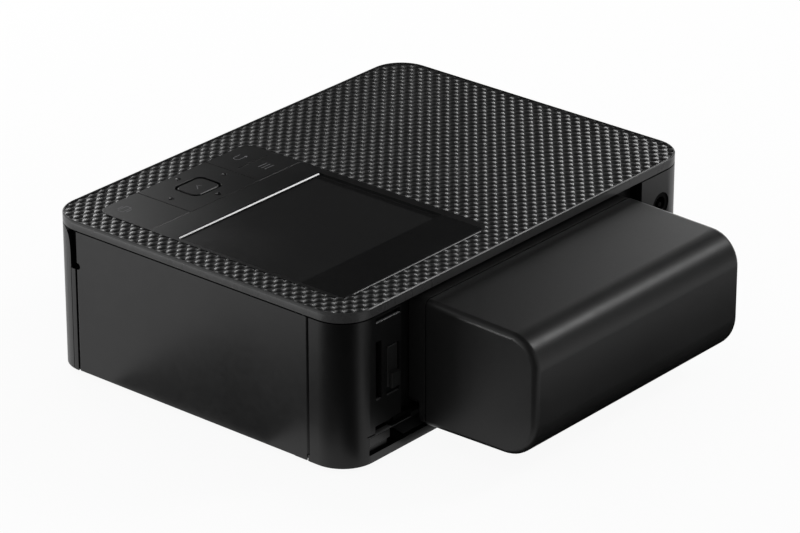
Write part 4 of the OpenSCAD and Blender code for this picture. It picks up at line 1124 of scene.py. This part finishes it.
def background_rays(tree):
    """1 for rays that should see the plain background: from the camera, and off gloss and glass."""
    rays = tree.nodes.new("ShaderNodeLightPath")
    seen = math_node(tree, "MAXIMUM", rays.outputs["Is Camera Ray"], rays.outputs["Is Glossy Ray"])
    return math_node(tree, "MAXIMUM", seen, rays.outputs["Is Transmission Ray"])


def set_floor():
    bpy.ops.mesh.primitive_plane_add(size=8.0, location=(0, 0, 0))
    floor = added("studio_floor")
    material, tree, shader = new_material("pale floor")
    shader.inputs["Base Color"].default_value = (0.93, 0.93, 0.93, 1)
    shader.inputs["Roughness"].default_value = 0.9
    shader.inputs["Specular IOR Level"].default_value = 0.0
    glow = tree.nodes.new("ShaderNodeEmission")
    glow.inputs["Color"].default_value = (1, 1, 1, 1)
    mixed = tree.nodes.new("ShaderNodeMixShader")
    tree.links.new(math_node(tree, "MULTIPLY", background_rays(tree), FLOOR_WHITE), mixed.inputs[0])
    tree.links.new(shader.outputs[0], mixed.inputs[1])
    tree.links.new(glow.outputs[0], mixed.inputs[2])
    tree.links.new(mixed.outputs[0], tree.nodes["Material Output"].inputs["Surface"])
    finish(floor, material)


def dark_card(name, place, facing, size):
    """A black card out of the picture, which only darkens what the gloss reflects."""
    bpy.ops.mesh.primitive_plane_add(size=1.0)
    card = added(name)
    card.scale = (size[0], size[1], 1)
    card.rotation_euler = Vector(facing).to_track_quat("Z", "Y").to_euler()
    card.location = place
    settle(card)
    material, tree, shader = new_material(name)
    shader.inputs["Base Color"].default_value = (0.0, 0.0, 0.0, 1)
    shader.inputs["Specular IOR Level"].default_value = 0.0
    finish(card, material)
    card.visible_camera = False
    card.visible_diffuse = False
    card.visible_shadow = False
    card.visible_transmission = False


def set_cards():
    dark_card("rear card", (-1.05, -0.88, 0.6), (0.7, 0.6, -0.42), (2.0, 1.6))
    dark_card("upper card", (-0.2, 0.2, 1.3), (0, 0, -1), (2.4, 2.4))
    dark_card("right card", (-0.95, 1.25, 0.6), (0.7, -0.9, -0.3), (1.8, 1.3))
    dark_card("corner card", (0.856, 0.69, 0.001), (0, 0, 1), (1.488, 1.42))
    dark_card("camera card", (1.5, 1.25, 0.75), (-0.7, -0.6, -0.3), (2.6, 1.8))
    dark_card("end card", (0.1, 0.275, 0.001), (0, 0, 1), (0.032, 0.45))
    dark_card("rear floor card", (-0.045, 0.0925, 0.001), (0, 0, 1), (0.21, 0.095))
    dark_card("door card", (0.122, -0.03, 0.001), (0, 0, 1), (0.056, 0.07))


def set_world():
    world = bpy.data.worlds.new("studio")
    bpy.context.scene.world = world
    world.use_nodes = True
    tree = world.node_tree
    back = tree.nodes["Background"]
    tint = mix_colour(tree, background_rays(tree), (0.5, 0.5, 0.5), (1.0, 1.0, 1.0))
    tree.links.new(tint, back.inputs["Color"])
    back.inputs["Strength"].default_value = 1.0


def aimed(name, data, place, target):
    """A lamp or camera that looks from its place at the target."""
    piece = bpy.data.objects.new(name, data)
    bpy.context.scene.collection.objects.link(piece)
    piece.location = place
    piece.rotation_euler = (Vector(target) - Vector(place)).to_track_quat("-Z", "Y").to_euler()
    return piece


def soft_lamp(name, place, size, watts):
    data = bpy.data.lights.new(name, "AREA")
    data.shape = "RECTANGLE"
    data.size, data.size_y = size
    data.energy = watts
    aimed(name, data, place, LAMP_TARGET)


def set_lamps():
    soft_lamp("left softbox", (0.62, -0.68, 0.03), (0.8, 0.05), 6)
    soft_lamp("rear left softbox", (-0.3, -0.62, 0.36), (0.3, 0.3), 0.4)
    soft_lamp("low rear softbox", (-0.25, -0.72, 0.23), (0.34, 0.22), 1.1)
    soft_lamp("rear right softbox", (-1.1, -0.42, 0.325), (0.45, 0.35), 2.5)
    soft_lamp("right softbox", (-0.6, 1.0, 0.3), (0.5, 0.5), 0.9)
    soft_lamp("edge softbox", (-0.86, 0.56, 0.82), (0.28, 0.24), 4.0)


def set_camera():
    data = bpy.data.cameras.new("studio camera")
    data.lens = CAMERA_LENS
    data.sensor_width = 36.0
    bpy.context.scene.camera = aimed("studio camera", data, CAMERA_PLACE, CAMERA_TARGET)
    bpy.context.scene.view_settings.view_transform = "Standard"


finish_solids()
model_cover()
model_rim_bead()
model_studs()
model_case()
model_keys()
model_key_marks()
model_slot_trim()
model_battery()
set_floor()
set_cards()
set_world()
set_lamps()
set_camera()
